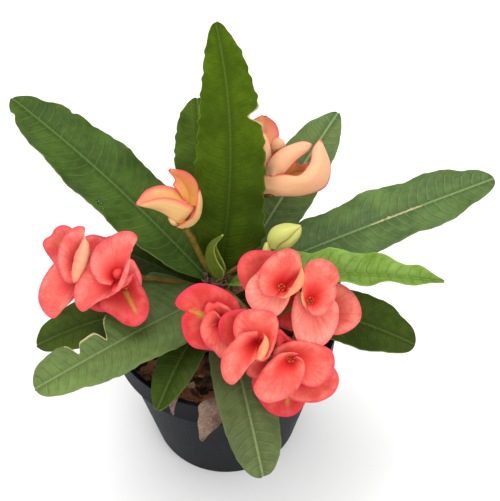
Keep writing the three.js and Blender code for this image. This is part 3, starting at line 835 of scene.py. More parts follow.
@dataclass
class Pot:
    """A round nursery pot with a plain collar, moulded in black polypropylene."""

    height: float = 115
    base_radius: float = 48
    shoulder_radius: float = 65
    collar_low_radius: float = 68.8
    rim_radius: float = 70
    collar_height: float = 21
    wall: float = 1.6
    floor: float = 2.2
    drain_radius: float = 5
    drain_count: int = 6
    drain_ring_radius: float = 35
    drain_sides: int = 32
    sides: int = 128

    def profile(self) -> list[tuple[float, float]]:
        """The section of the wall, as radius and height, from the base's centre round to the floor's."""
        base, shoulder, collar = self.base_radius, self.shoulder_radius, self.collar_low_radius
        rim, wall, top = self.rim_radius, self.wall, self.height
        low = top - self.collar_height
        return [
            (base - 2, 0), (base - 0.6, 0.6), (base, 2), (shoulder, low - 0.5), (shoulder + 0.4, low),
            (collar - 0.5, low), (collar, low + 0.6), (rim - 0.4, top - 1.6), (rim, top - 0.8),
            (rim - 0.2, top - 0.2), (rim - 0.7, top), (rim - wall - 0.5, top),
            (rim - wall - 1.0, top - 0.5), (rim - wall - 1.2, top - 1.6), (collar - wall, low + wall),
            (shoulder - wall, low - wall), (base - wall, self.floor + 1.5),
            (base - wall - 1.5, self.floor),
        ]

    def inner_radius(self, z: float) -> float:
        """The wall's inner radius at a height.

        Args:
            z: The height above the base.

        Returns:
            The radius.
        """
        low = self.height - self.collar_height
        heights = [self.floor + 1.5, low - self.wall, low + self.wall, self.height - 1.6]
        radii = [
            self.base_radius - self.wall, self.shoulder_radius - self.wall,
            self.collar_low_radius - self.wall, self.rim_radius - self.wall - 1.2,
        ]
        return float(np.interp(z, heights, radii))

    def build(self) -> Any:
        """Turns the section and drills the drain holes.

        Returns:
            The pot as an object.
        """
        angle = np.linspace(0, 2 * np.pi, self.sides, endpoint=False)
        section = self.profile()
        points = [(r * np.cos(a), r * np.sin(a), z) for r, z in section for a in angle]
        faces = ring_faces(len(section), self.sides)
        body = make_object("pot_body", np.array(points), faces)
        pins, pin_faces = [], []
        ring = np.linspace(0, 2 * np.pi, self.drain_sides, endpoint=False)
        for k in range(self.drain_count):
            turn = 2 * np.pi * (k + 0.5) / self.drain_count
            x, y = self.drain_ring_radius * np.cos(turn), self.drain_ring_radius * np.sin(turn)
            start = len(pins)
            # a pin runs from below the base to above the floor
            for z in (-4, 6):
                pins += [
                    (x + self.drain_radius * np.cos(a), y + self.drain_radius * np.sin(a), z) for a in ring
                ]
            pin_faces += ring_faces(2, self.drain_sides, start)
        drill = make_object("drain_pins", np.array(pins), pin_faces)
        cut = body.modifiers.new("drain", "BOOLEAN")
        cut.operation, cut.solver, cut.object = "DIFFERENCE", "EXACT", drill
        graph = bpy.context.evaluated_depsgraph_get()
        mesh = bpy.data.meshes.new_from_object(body.evaluated_get(graph), depsgraph=graph)
        for spare in (body, drill):
            bpy.data.objects.remove(spare)
        piece = stand("nursery_pot", mesh)
        mesh.materials.clear()
        # injection-moulded polypropylene, black: satin, with fine dust caught in a faint moulded grain
        mesh.materials.append(
            Mottled(
                "moulded_polypropylene_black", "#0c0d11", "#14161b", 26, 1.2, roughness=(0.42, 0.56),
                relief_mm=0.03, speck="#34322f", speck_share=0.12, gloss=0.03,
            ).material()
        )
        sharpen(piece, 35)
        return settle(piece, "pot", "pot")


def sharpen(piece: Any, degrees: float) -> None:
    """Keeps edges steeper than an angle crisp on a smooth mesh.

    Args:
        piece: The object.
        degrees: The angle.
    """
    work = bmesh.new()
    work.from_mesh(piece.data)
    for edge in work.edges:
        edge.smooth = len(edge.link_faces) == 2 and edge.calc_face_angle(0) < math.radians(degrees)
    work.to_mesh(piece.data)
    work.free()


@dataclass
class PottingMix:
    """Composted bark that fills the pot, with chips, straw and grit on its top."""

    pot: Pot
    level: float = 101
    mound: float = 3
    mound_radius: float = 45
    top_radius: float = 64.5
    edge_radius: float = 66
    spread_radius: float = 62.5
    stem_clear: float = 9
    top_rings: int = 46
    sides: int = 128
    chips: int = 190
    slivers: int = 46
    grit: int = 420

    def height_at(self, x: np.ndarray, y: np.ndarray) -> np.ndarray:
        """The height of the mix at a place."""
        return (
            self.level + self.mound * (1 - smooth(np.hypot(x, y) / self.mound_radius))
            + 0.9 * np.sin(0.23 * x + 1.1) * np.cos(0.19 * y) + 0.6 * np.sin(0.41 * y - 0.27 * x)
        )

    def body(self) -> Any:
        """Makes the filling with its rough top.

        Returns:
            The filling as an object.
        """
        low = self.pot.height - self.pot.collar_height
        angle = np.linspace(0, 2 * np.pi, self.sides, endpoint=False)
        rings = [(self.pot.base_radius - self.pot.wall - 3, self.pot.floor + 0.3)]
        for z in (self.pot.floor + 1.8, low - self.pot.wall, low + self.pot.wall, self.level - 1.5):
            rings.append((self.pot.inner_radius(z) - 0.5, z))
        points = [(r * np.cos(a), r * np.sin(a), z) for r, z in rings for a in angle]
        for r in np.linspace(self.top_radius, 1, self.top_rings):
            x, y = r * np.cos(angle), r * np.sin(angle)
            crumbs = np.array([
                1.5 * noise.noise(Vector((px, py, 3.0)) * 0.16)
                + 0.7 * noise.noise(Vector((px, py, 9.0)) * 0.5)
                for px, py in zip(x, y)
            ])
            edge = smooth((self.edge_radius - r) / 8)
            points += list(zip(x, y, self.height_at(x, y) + crumbs * edge - 0.4))
        body = make_object("mix_body", np.array(points), ring_faces(len(rings) + self.top_rings, self.sides))
        # composted bark and peat, damp: dark brown, dull, with crumbs of 2 to 3 mm
        body.data.materials.append(
            Mottled(
                "composted_bark", "#140b05", "#5c3c26", 7, 1.6, roughness=(0.75, 0.95), relief_mm=0.9,
                speck="#8a6a48", speck_share=0.5,
            ).material()
        )
        return body

    def scatter(self, name: str, count: int, seed: int, size: tuple, finish: Mottled, lift: float) -> Any:
        """Lays flakes on the mix by a seeded rule.

        Args:
            name: The name of the group.
            count: How many flakes.
            seed: The seed of the draw.
            size: The shortest and the longest length, then the range of widths, as shares of the length,
                and the range of thicknesses.
            finish: The flakes' finish.
            lift: How far a flake's centre lies above the mix.

        Returns:
            The flakes as an object.
        """
        draw = np.random.default_rng(seed)
        group = Repeats(name, Bit.FLAKE, 4, 1.5 if size[1] > 5 else 0.8)
        while len(group.places) < count:
            angle, reach = draw.uniform(0, 2 * np.pi), self.spread_radius * math.sqrt(draw.uniform(0.03, 1))
            length = draw.uniform(size[0], size[1])
            reach = min(reach, self.edge_radius - length / 2)
            x, y = reach * math.cos(angle), reach * math.sin(angle)
            if math.hypot(x - 1, y - 1) < self.stem_clear + length / 2:
                continue
            tilt = draw.normal(0, 0.22, 2)
            z = float(self.height_at(np.array(x), np.array(y))) + lift
            group.put(
                (x, y, z), (tilt[0], tilt[1], 1),
                (length, length * draw.uniform(*size[2]), draw.uniform(*size[3])), draw.uniform(0, 2 * np.pi),
            )
        return group.build(finish.material())

    def build(self) -> Any:
        """Makes the filling and what lies on it.

        Returns:
            The mix as an object.
        """
        parts = [self.body()]
        # chips of pine bark: red-brown faces with grey-brown backs
        bark = Mottled(
            "pine_bark_chip", "#1c0c05", "#aa6840", 9, 1.4, (1.0, 3.0, 1.0), (0.6, 0.85), 0.35,
            speck="#b99a7c", speck_share=0.35, tone_attribute="tone",
        )
        chip_size = (6, 17, (0.4, 0.75), (1.2, 2.6))
        parts.append(self.scatter("bark_chips", self.chips, 21, chip_size, bark, 0.9))
        # slivers of dry wood fibre: pale straw
        fibre = Mottled(
            "dry_wood_fibre", "#8c7252", "#d8c49a", 6, 0.8, (1.0, 5.0, 1.0), (0.7, 0.9), 0.15,
            tone_attribute="tone",
        )
        sliver_size = (5, 15, (0.12, 0.3), (0.6, 1.2))
        parts.append(self.scatter("wood_fibre", self.slivers, 8, sliver_size, fibre, 1.5))
        # crumbs of bark: small, dull and dark
        grit = Mottled(
            "bark_crumb", "#20130c", "#6b452c", 4, 0.9, (1.0, 1.0, 1.0), (0.75, 0.95), 0.3,
            tone_attribute="tone",
        )
        crumb_size = (2, 4.5, (0.6, 0.9), (1.0, 2.2))
        parts.append(self.scatter("bark_crumbs", self.grit, 33, crumb_size, grit, 0.6))
        return settle(join("potting_mix_top", parts), "potting_mix", "potting_mix")


# ---------- stem, branch and spines ----------


@dataclass
class Wood:
    """The woody stem with its low branch, leaf scars and paired spines."""

    foot: tuple = (1, 1, 62)
    bends: tuple = ((1, 1, 95), (-2, -1, 125))
    top: tuple = (-4, -4, 154)
    foot_radius: float = 9
    top_radius: float = 7.5
    branch: tuple = ((1, 1, 100), (24, 5, 105), (50, 9, 118), (70, 7, 134))
    branch_radius: float = 4.6
    branch_tip: float = 3.4
    spine_length: float = 11
    spine_radius: float = 0.9
    spine_rise: float = 15

    def __post_init__(self) -> None:
        """Lays the axes of the stem and the branch."""
        self.axis = Route([self.foot, *self.bends, self.top])
        self.branch_axis = Route(list(self.branch))

    def radius(self, share: Any, angle: Any) -> Any:
        """The stem's radius: it narrows upwards, swells at old scars and rounds off at its tip."""
        bumps = 0.35 * np.sin(3 * angle + 26 * share) + 0.3 * np.sin(5 * angle - 17 * share)
        tip = np.sqrt(1 - np.clip((share - 0.9) / 0.104, 0, 1) ** 2)
        scars = 0.25 * np.sin(9 * angle + 60 * share) * np.sin(75 * share)
        return (lerp(self.foot_radius, self.top_radius, share) + bumps + scars) * tip

    def branch_radius_at(self, share: Any, angle: Any) -> Any:
        """The branch's radius."""
        tip = np.sqrt(1 - np.clip((share - 0.93) / 0.073, 0, 1) ** 2)
        bumps = 0.25 * np.sin(3 * angle + 19 * share)
        return (lerp(self.branch_radius, self.branch_tip, share) + bumps) * tip

    def spines(self, keep_clear: list) -> Any:
        """Sets a pair of spines at each leaf scar, on a golden-angle spiral.

        Args:
            keep_clear: Search trees of pieces that no spine may pierce.

        Returns:
            The spines as an object.
        """
        group = Repeats("spines", Bit.SPINE, 8)
        rows = [
            (self.axis, self.radius, 0.48 + 0.02 * k, GOLDEN_ANGLE * k + 20, 0.8 + 0.25 * math.sin(5 * k))
            for k in range(20)
        ]
        rows += [
            (self.branch_axis, self.branch_radius_at, 0.2 + 0.085 * k, GOLDEN_ANGLE * k + 75, 0.75)
            for k in range(9)
        ]
        for axis, radius_at, share, degrees, size in rows:
            radius, length = float(radius_at(share, 0.0)), self.spine_length * size
            centre, way, angle = axis.at(share), axis.tangent(share), math.radians(degrees)
            side = np.array([-math.sin(angle), math.cos(angle), 0])
            out = unit(np.cross(side, way))
            for lean in (-1, 1):
                aim = unit(out + 0.45 * lean * side + math.tan(math.radians(self.spine_rise)) * way)
                root = centre + out * (radius - 1.5) + side * 2.2 * lean
                probes = [Vector((root + aim * length * t) * MM) for t in (0.25, 0.4, 0.6, 0.8, 1)]
                near = [tree.find_nearest(p, 0.001)[3] for tree in keep_clear for p in probes]
                if all(gap is None or gap > 0.0006 for gap in near):
                    group.put(root, aim, (2 * self.spine_radius, 2 * self.spine_radius, length))
        # dry spine: hard and pointed, grey-brown with a dark tip
        return group.build(
            Mottled(
                "dry_spine", "#4a3a2c", "#9a8468", 5, 0.8, roughness=(0.5, 0.7), relief_mm=0.08
            ).material()
        )

    def scraps(self) -> Any:
        """Lays dry stipules and scraps of old leaf bases round the growing tip.

        Returns:
            The scraps as an object.
        """
        draw = np.random.default_rng(14)
        group = Repeats("dry_stipules", Bit.FLAKE, 3, 0.8)
        for k in range(120):
            share = draw.uniform(0.8, 0.985)
            angle = math.radians(GOLDEN_ANGLE * k)
            out = np.array([math.cos(angle), math.sin(angle), draw.uniform(0.1, 0.9)])
            place = self.axis.at(share) + unit(out) * (float(self.radius(share, angle)) * 0.95 + 0.6)
            group.put(
                place, unit(out + draw.normal(0, 0.5, 3)),
                (draw.uniform(0.6, 1.5), draw.uniform(2.5, 7.5), 0.5), draw.uniform(0, 6.28),
            )
        # papery dead tissue, grey-brown to tan
        return group.build(
            Mottled(
                "papery_stipule", "#0e0a06", "#6a5238", 3, 0.7, roughness=(0.8, 0.95), relief_mm=0.1,
                tone_attribute="tone",
            ).material()
        )

    def build(self, keep_clear: list) -> Any:
        """Makes the wood with its spines.

        Args:
            keep_clear: Search trees of pieces that no spine may pierce.

        Returns:
            The wood as an object.
        """
        parts = []
        for name, axis, radius, rings, sides in (
            ("stem_wood", self.axis, self.radius, 110, 40),
            ("branch_wood", self.branch_axis, self.branch_radius_at, 60, 24),
        ):
            shares = np.linspace(0, 1, rings)
            points = tube_points(axis, shares, radius, sides)
            parts.append(make_object(name, points, ring_faces(rings, sides)))
            recalculate(parts[-1])
        # living bark of a succulent shrub: grey-brown, with upright cracks and rough leaf scars
        bark = Mottled(
            "stem_bark", "#20170f", "#5e4e3b", 6, 1.3, (1.0, 1.0, 0.35), (0.7, 0.9), 0.5, speck="#a3937c",
            speck_share=0.3,
        ).material()
        for part in parts:
            part.data.materials.append(bark)
        parts += [self.spines(keep_clear), self.scraps()]
        return settle(join("woody_stem", parts), "stem_bark", "stem")


def recalculate(piece: Any) -> None:
    """Merges a mesh's doubles and points its faces outwards.

    Args:
        piece: The object.
    """
    work = bmesh.new()
    work.from_mesh(piece.data)
    bmesh.ops.remove_doubles(work, verts=work.verts, dist=1e-6)
    bmesh.ops.recalc_face_normals(work, faces=work.faces)
    work.to_mesh(piece.data)
    work.free()


# ---------- leaves ----------


class Tone(Enum):
    """The leaf colours of the plant, from full-grown to unfolding."""

    DEEP = LeafTissue(
        "leaf_full_grown_deep", "#2b3f10", "#415a1b", "#64823e", rib_strength=0.42, wax=0.12, dusk=0.0
    )
    FULL = LeafTissue(
        "leaf_full_grown", "#3a5024", "#567034", "#86a064", rib_strength=0.4, midrib_strength=0.55
    )
    PALE = LeafTissue("leaf_full_grown_pale", "#4a5e2a", "#667c3c", "#8da064", rib_strength=0.32)
    MIST = LeafTissue("leaf_back", "#43562a", "#5b7139", "#8fa46c", midrib_strength=0.6, dusk=0.0)
    FRESH = LeafTissue(
        "leaf_upright", "#364a06", "#4a610c", "#55692a", 5.4, 0.3, 0.45, 0.6, 0.04, "#66801f", 0.5, 0.25
    )
    MOSS = LeafTissue("leaf_back_left", "#34470a", "#475e10", "#5e7030", 5.4, 0.4, 0.5, 0.5, 0.1, "#66801f")
    OLIVE = LeafTissue(
        "leaf_low", "#2d3d0b", "#415316", "#5c6c34", 5.8, 0.16, 0.45, wax=0.08, dusk=0.3, quilt=0.12
    )
    DUSK = LeafTissue("leaf_front", "#465229", "#5e6c3c", "#88985f", 5.8, 0.3, 0.6, dusk=0.85)
    LIME = LeafTissue(
        "leaf_young", "#5f7b26", "#7d9f41", "#5f8434", 6.0, 0.26, 0.35, 0.42, 0.25, "#93b054", 0.2
    )


@dataclass
class Leaf:
    """One long blade that springs from the stem.

    Angles are in degrees: azimuth 0 is +X, rise runs from base to tip, bend turns the leaf sideways,
    and fold lifts both margins. Each nick is a tear in the margin: side, place, depth and spread, or a
    bulge where its depth is below 0. Each scratch is its place, spread and width.
    """

    name: str
    azimuth: float
    foot: float
    rise: tuple[float, float]
    bend: float
    length: float
    width: float
    widest: float
    blunt: float
    fold: float
    wave: float
    waves: int
    phase: float
    tone: Tone
    nicks: tuple = ()
    start: float = 5.5
    scratch: tuple = ()
    scallop: float = 0.008
    rows: int = 120
    columns: int = 26
    thickness: float = 0.8

    def half_width(self, s: np.ndarray, v: np.ndarray) -> np.ndarray:
        """The half width of the blade, with its scallops and tears.

        Args:
            s: Shares of the length.
            v: Places across the blade, whose sign tells the side.

        Returns:
            The half widths.
        """
        b, w = self.blunt, self.widest
        a = b * w / (1 - w)
        beta = (s / w) ** (1.25 * a) * ((1 - s) / (1 - w)) ** b
        half = np.maximum(0.6, self.width / 2 * beta * (1 - np.exp(-s / 0.07)) + 2.4 * np.exp(-s / 0.1))
        scallop_mm = 8.2
        beat = 2 * np.pi * s * self.length / scallop_mm
        scallops = np.sin(beat + 1.7 * np.sign(v)) + 0.5 * np.sin(beat / 0.61 + v)
        half = half * (1 + self.scallop * smooth(s / 0.15) * smooth((1 - s) / 0.06) * scallops)
        for side, place, depth, spread in self.nicks:
            dip = 1 - depth * np.exp(-(((s - place) / spread) ** 2))
            half = np.where(np.sign(v) == side, half * dip, half)
        return half

    def shares(self) -> np.ndarray:
        """Where the rows of points stand: closer at the tip and at each nick."""
        rows = 1 - (1 - np.linspace(0, 1, self.rows)) ** 1.35
        for _, place, _, spread in self.nicks:
            rows = np.concatenate([rows, place + spread * np.linspace(-2.4, 2.4, 15)])
        return np.unique(np.round(np.clip(rows, 0, 1), 5))

    def spine(self, axis: Route, shares: np.ndarray) -> tuple[np.ndarray, ...]:
        """The midrib's points, with its side and upward directions.

        Args:
            axis: The stem's axis.
            shares: The shares of the length.

        Returns:
            Points, side vectors and normals.
        """
        steps = 70
        fine = np.arange(steps + 1) / steps
        azimuth = self.azimuth + self.bend * fine
        way = direction(azimuth, lerp(self.rise[0], self.rise[1], (smooth(fine) + fine) / 2))
        side = direction(azimuth + 90, 0 * fine)
        start = axis.at_height(self.foot) + direction(self.azimuth, 0) * self.start
        points = start + np.vstack([np.zeros(3), np.cumsum(way[:-1], axis=0)]) * self.length / steps
        normal = np.cross(way, side)
        return tuple(
            np.stack([np.interp(shares, fine, vectors[:, k]) for k in range(3)], axis=-1)
            for vectors in (points, side, normal)
        )

    def surface(self, axis: Route, s: np.ndarray, v: np.ndarray) -> tuple[np.ndarray, np.ndarray]:
        """The blade's upper surface on a grid.

        Args:
            axis: The stem's axis.
            s: Shares of the length, one for each row.
            v: Places across the blade, from the right margin, -1, to the left, 1.

        Returns:
            The points, and the signed distance from the midrib.
        """
        centre, side, normal = self.spine(axis, s)
        sg, vg = np.meshgrid(s, v, indexing="ij")
        across = self.half_width(sg, vg) * vg
        fold = np.radians(self.fold) * smooth(np.minimum(1, sg / 0.15 + 0.3))
        reach = np.abs(across)
        ripple = (
            self.wave * smooth(sg / 0.25) * smooth((1 - sg) / 0.12) * np.abs(vg) ** 1.6
            * np.sin(2 * np.pi * (self.waves * sg + self.phase + np.where(vg > 0, 0.37, 0)))
        )
        spacing = self.tone.value.rib_spacing
        order = (sg * self.length - 0.4 * reach - 0.008 * reach**2) / spacing + 0.45 * (vg > 0)
        puff = 0.32 * self.tone.value.quilt * smooth((1 - np.abs(vg)) / 0.3)
        quilt = -puff * np.cos(2 * np.pi * order) * smooth(sg / 0.1) * smooth(reach / 3)
        crease = -0.5 * np.exp(-((reach / 1.1) ** 2)) * (1 - 0.6 * sg)
        crinkle = np.sin(2 * np.pi * (order * 0.31 + self.phase))
        frill = 0.012 * self.width * smooth(sg / 0.2) * np.abs(vg) ** 6 * crinkle
        points = (
            centre[:, None]
            + side[:, None] * (np.sign(vg) * reach * np.cos(fold))[..., None]
            + normal[:, None] * (reach * np.sin(fold) + ripple + quilt + crease + frill)[..., None]
        )
        return points, across

    def build(self, axis: Route, finish: bpy.types.Material) -> Any:
        """Makes and dresses the blade.

        Args:
            axis: The stem's axis.
            finish: The blade's material.

        Returns:
            The leaf as an object.
        """
        s = self.shares()
        x = np.linspace(-1, 1, self.columns + 1)
        v = np.sign(x) * np.abs(x) ** 0.85
        points, across = self.surface(axis, s, v)
        sg, vg = np.meshgrid(s, v, indexing="ij")
        along, reach = sg * self.length, np.abs(across)
        hook = 30 * np.maximum(np.abs(vg) - 0.62, 0) ** 2
        order = (along - 0.22 * reach - 0.012 * reach**2 - hook) / self.tone.value.rib_spacing
        rib = 1.5 * (1 - sg) * np.exp(-((across / 1.3) ** 2))
        thickness = self.thickness * (1 - 0.5 * np.abs(vg) ** 8) + rib
        scar = np.zeros_like(sg)
        for side, place, depth, spread in self.nicks:
            if depth > 0.2:
                near = np.exp(-(((sg - place) / min(2.6 * spread, 0.14)) ** 2))
                scar = np.maximum(scar, 1.2 * near * smooth((side * vg - 0.86) / 0.1))
        for place, spread, width in self.scratch:
            scar = np.maximum(
                scar, 0.75 * np.exp(-(((sg - place) / spread) ** 4)) * np.exp(-((across / width) ** 2))
            )
        piece = blade(
            self.name + "_blade", points, thickness,
            {
                "width": reach, "order": order + 0.45 * (vg > 0), "margin": np.abs(vg), "scar": scar,
                # near rises towards the base and sets where the painted shade falls on the blade
                "near": smooth((110 - along) / 95),
            },
        )
        piece.data.materials.append(finish)
        slots = {Tone.LIME: "leaf_young", Tone.OLIVE: "leaf_shaded", Tone.DUSK: "leaf_shaded"}
        return settle(piece, slots.get(self.tone, "leaf"), self.name)


LEAVES = [
    Leaf("leaf_upright", 71, 150, (56, 47), 39, 145, 41, 0.3, 0.56, 10, 1.5, 6, 0.1, Tone.FRESH,
         ((-1, 0.63, 0.36, 0.02), (-1, 0.17, -0.3, 0.08)), scallop=0.03),
    Leaf("leaf_back_left", 99, 140, (36, 16), -4, 117, 35, 0.5, 0.5, 10, 1.2, 4, 0.4, Tone.MOSS,
         scallop=0.02),
    Leaf("leaf_back_right", 52, 131, (33, 26), 0, 128, 38, 0.48, 0.62, 9, 1.2, 3, 0.2, Tone.MIST),
    Leaf("leaf_left", 145, 145, (34, 11), -4, 162, 45, 0.42, 0.52, 8, 1.6, 4, 0, Tone.DEEP,
         ((-1, 0.79, 0.1, 0.012), (1, 0.93, 0.16, 0.014))),
    Leaf("leaf_right", 13, 145, (19, 14), 2, 167, 42, 0.52, 0.48, 8, 1.8, 4, 0.6, Tone.FULL,
         scratch=((0.64, 0.13, 1.2),)),
    Leaf("leaf_young_right", -13, 147.5, (28, 10), -5, 131, 28, 0.4, 0.75, 25, 2, 5, 0.3, Tone.LIME),
    Leaf("leaf_low_right", -16, 130, (18, -16), -4, 116, 40, 0.52, 0.45, 6, 1.4, 3, 0.5, Tone.OLIVE),
    Leaf("leaf_front", -80, 127, (24, -51), 8, 116, 33, 0.55, 0.45, 8, 1.2, 3, 0.2, Tone.DUSK),
    Leaf("leaf_front_small", -117, 124, (19, -26), 4, 78, 24, 0.5, 0.6, 8, 0.6, 2, 0, Tone.OLIVE),
    Leaf("leaf_front_left", -141, 139, (8, -10), -9.5, 117, 47, 0.3, 0.4, 6, 1.2, 3, 0.4, Tone.PALE,
         ((-1, 0.17, -0.45, 0.12), (-1, 0.65, 0.44, 0.13), (-1, 0.59, 0.72, 0.022), (-1, 0.737, 0.58, 0.02))),
    Leaf("leaf_low_left", -166, 124, (18, -17), 6, 108, 35, 0.55, 0.5, 7, 0.9, 3, 0.2, Tone.OLIVE),
    Leaf("leaf_hidden_left", 157, 129, (20, -10), -8, 80, 27, 0.55, 0.5, 8, 0.9, 3, 0.7, Tone.OLIVE),
]


@dataclass
class Dew:
    """Water that stands in low round drops on a leaf.

    Each drop is its share of the leaf's length, how far from the midrib it stands and how wide it is.
    """

    leaf: Leaf
    drops: tuple = ((0.471, 17, 4.4), (0.443, 18.6, 1.8), (0.457, 21, 1.2))

    def build(self, axis: Route) -> Any:
        """Makes and dresses the drops.

        Args:
            axis: The stem's axis.

        Returns:
            The drops as an object.
        """
        group = Repeats("dew_drops", Bit.BEAD, 20)
        for share, across, width in self.drops:
            spot = across / float(self.leaf.half_width(np.array(share), np.array(1.0)))
            rows, columns = np.array([share, share + 0.01]), np.array([spot, spot + 0.05])
            points, _ = self.leaf.surface(axis, rows, columns)
            up = unit(np.cross(points[1, 0] - points[0, 0], points[0, 1] - points[0, 0]))
            group.put(points[0, 0], up * np.sign(up[2]), (width, 0.85 * width, 0.5 * width))
        return settle(group.build(WaterFilm().material()), "leaf")


# ---------- blooms ----------


@dataclass(frozen=True)
class Cornet:
    """A broad bract that opens from the cup like a cornet.

    rim is its margin, from one side of the cup round to the other, as millimetres to the right and up
    for someone who looks along the bloom's rails, with a third number where the margin rolls in by that
    much. lift is how far forward of the cup the rim stands, and tilt how much further for each
    millimetre right and up. root is the bract's foot and sink how far behind the cup's middle it lies.
    steep is how fast it rises from there. deep is how strong the colour is, or below 0 how pale, and
    blush how much of it the back keeps; the deep red is partly painted shade on bracts that lie in gaps
    behind others, and the pale partly painted light on bracts that lie in shade. streak is how yellow
    the midrib is, which runs towards turn, in degrees anticlockwise from up, and streak_width about
    half its width at the root.
    """

    rim: tuple
    lift: float = 8
    root: tuple[float, float] = (0, 0)
    tilt: tuple[float, float] = (0, 0)
    sink: float = 1.0
    steep: float = 1.9
    deep: float = 0.1
    blush: float = 0.0
    streak: float = 0.0
    turn: float = 0.0
    streak_width: float = 2.0
    rings: int = 26
    spokes: int = 72
    thickness: float = 0.6

    def build(self, name: str, at: np.ndarray, axes: tuple) -> Any:
        """Makes the bract.

        Args:
            name: The object's name.
            at: The cup's place.
            axes: Forward, up and to the left of both.

        Returns:
            The bract as an object.
        """
        forward, up, left = axes
        seed = sum(map(ord, name))
        x, y, roll = Route([[*p, 0][:3] for p in self.rim]).at(np.linspace(0, 1, self.spokes + 1)).T
        dx, dy = x - self.root[0], y - self.root[1]
        if np.sum(dx[:-1] * dy[1:] - dy[:-1] * dx[1:]) < 0:
            x, y, roll, dx, dy = x[::-1], y[::-1], roll[::-1], dx[::-1], dy[::-1]
        whole, angle, roll = np.hypot(dx, dy), np.arctan2(-dx, dy), np.maximum(roll, 0)
        way = unit(np.stack([np.gradient(x), np.gradient(y)], axis=-1))
        share = 1 - (1 - np.linspace(0, 1, self.rings + 1)) ** 1.25
        sg, ag = np.meshgrid(share, angle, indexing="ij")
        rise = self.lift + self.tilt[0] * x + self.tilt[1] * y + self.sink
        # an open lip flares forward and then out, and a rolled one stands up like a wall and turns in
        flared = rise * (1 - (1 - sg) ** self.steep) - 1.2 * smooth((sg - 0.7) / 0.3) ** 2
        lip = 0.72
        rolled = smooth(roll / 4)
        wall = np.minimum(sg / lip, 1) * np.pi / 2
        turned = np.maximum(sg - lip, 0) / (1 - lip) * np.pi / 2
        reach = np.maximum(0.8, whole - 0.6) * lerp(sg, np.sin(wall), rolled) + 0.6
        walled = rise * lerp(1 - np.cos(wall), np.sin(wall), 0.4) + 0.9 * roll * np.sin(turned)
        height = lerp(flared, walled, rolled) - self.sink
        inward = roll * (1 - np.cos(turned))
        frill = 0.7 * sg**3 * np.sin(3.1 * ag + seed) + 0.35 * sg**5 * np.sin(9.3 * ag + 2 * seed)
        points = (
            at + left * (np.sin(ag) * reach - self.root[0] + inward * way[:, 1])[..., None]
            + up * (np.cos(ag) * reach + self.root[1] + inward * way[:, 0])[..., None]
            + forward * (height + frill)[..., None]
        )
        edge = np.abs(np.linspace(-1, 1, self.spokes + 1)) + 0 * sg
        off = ag - math.radians(self.turn)
        midrib = np.exp(-((reach * np.sin(off) / (self.streak_width - sg)) ** 2)) * (np.cos(off) > 0)
        return blade(
            name, points, self.thickness * (1 - 0.4 * sg**10),
            {
                "reach": sg, "edge": edge, "ray": ag + 0.1 * seed, "deep": np.full_like(sg, self.deep),
                "streak": self.streak * midrib * smooth((0.95 - sg) / 0.5),
                "blush": np.full_like(sg, self.blush),
            },
        )


@dataclass(frozen=True)
class Fold:
    """A bract folded along its keel.

    Its right margin, keel and left margin are each given from root to tip, as millimetres to the
    right, up and forward of the cup for someone who looks along the bloom's rails. belly is how far
    each half bulges, and warm how much of the tip's colour reaches down to the root. deep and streak
    are a cornet's.
    """

    right: tuple
    keel: tuple
    left: tuple
    belly: float = 1.0
    deep: float = 0.0
    streak: float = 0.0
    warm: float = 0.0
    rows: int = 44
    columns: int = 22
    thickness: float = 0.6

    def build(self, name: str, at: np.ndarray, axes: tuple) -> Any:
        """Makes the bract.

        Args:
            name: The object's name.
            at: The cup's place.
            axes: Forward, up and to the left of both.

        Returns:
            The bract as an object.
        """
        forward, up, left = axes
        basis = np.array([-left, up, forward])
        s, v = np.linspace(0, 1, self.rows), np.linspace(-1, 1, self.columns + 1)
        right, keel, far = [
            at + Route([list(p) for p in rail]).at(s) @ basis for rail in (self.right, self.keel, self.left)
        ]
        bulge = unit(keel - (right + far) / 2)
        side = np.where(v[None, :, None] < 0, right[:, None], far[:, None])
        share = np.abs(v)[None, :, None] ** 1.15
        ends = smooth(s / 0.2) * smooth((1 - s) / 0.2)
        hollow = self.belly * (4 * share * (1 - share)) * ends[:, None, None]
        points = keel[:, None] + (side - keel[:, None]) * share + bulge[:, None] * hollow
        middle, centre = len(s) // 2, self.columns // 2
        across = points[middle, -1] - points[middle, 0]
        along = points[middle + 1, centre] - points[middle - 1, centre]
        if np.dot(np.cross(along, across), bulge[middle]) > 0:
            points, v = points[:, ::-1], v[::-1]
        sg, vg = np.meshgrid(s, np.abs(v), indexing="ij")
        seed = sum(map(ord, name))
        thickness = self.thickness * (1 - 0.4 * vg**10) * (1 - 0.4 * sg**10)
        return blade(
            name, points, thickness,
            {
                "reach": lerp(self.warm * 0.4, 1, sg) * 0.88 + 0.11 * smooth((sg - 0.93) / 0.06),
                "edge": vg,
                "ray": np.broadcast_to(v, sg.shape) * 1.5 + 0.1 * seed,
                "streak": self.streak * np.exp(-((vg / 0.22) ** 2)) * smooth((0.95 - sg) / 0.2),
                "deep": np.full_like(sg, self.deep),
            },
        )


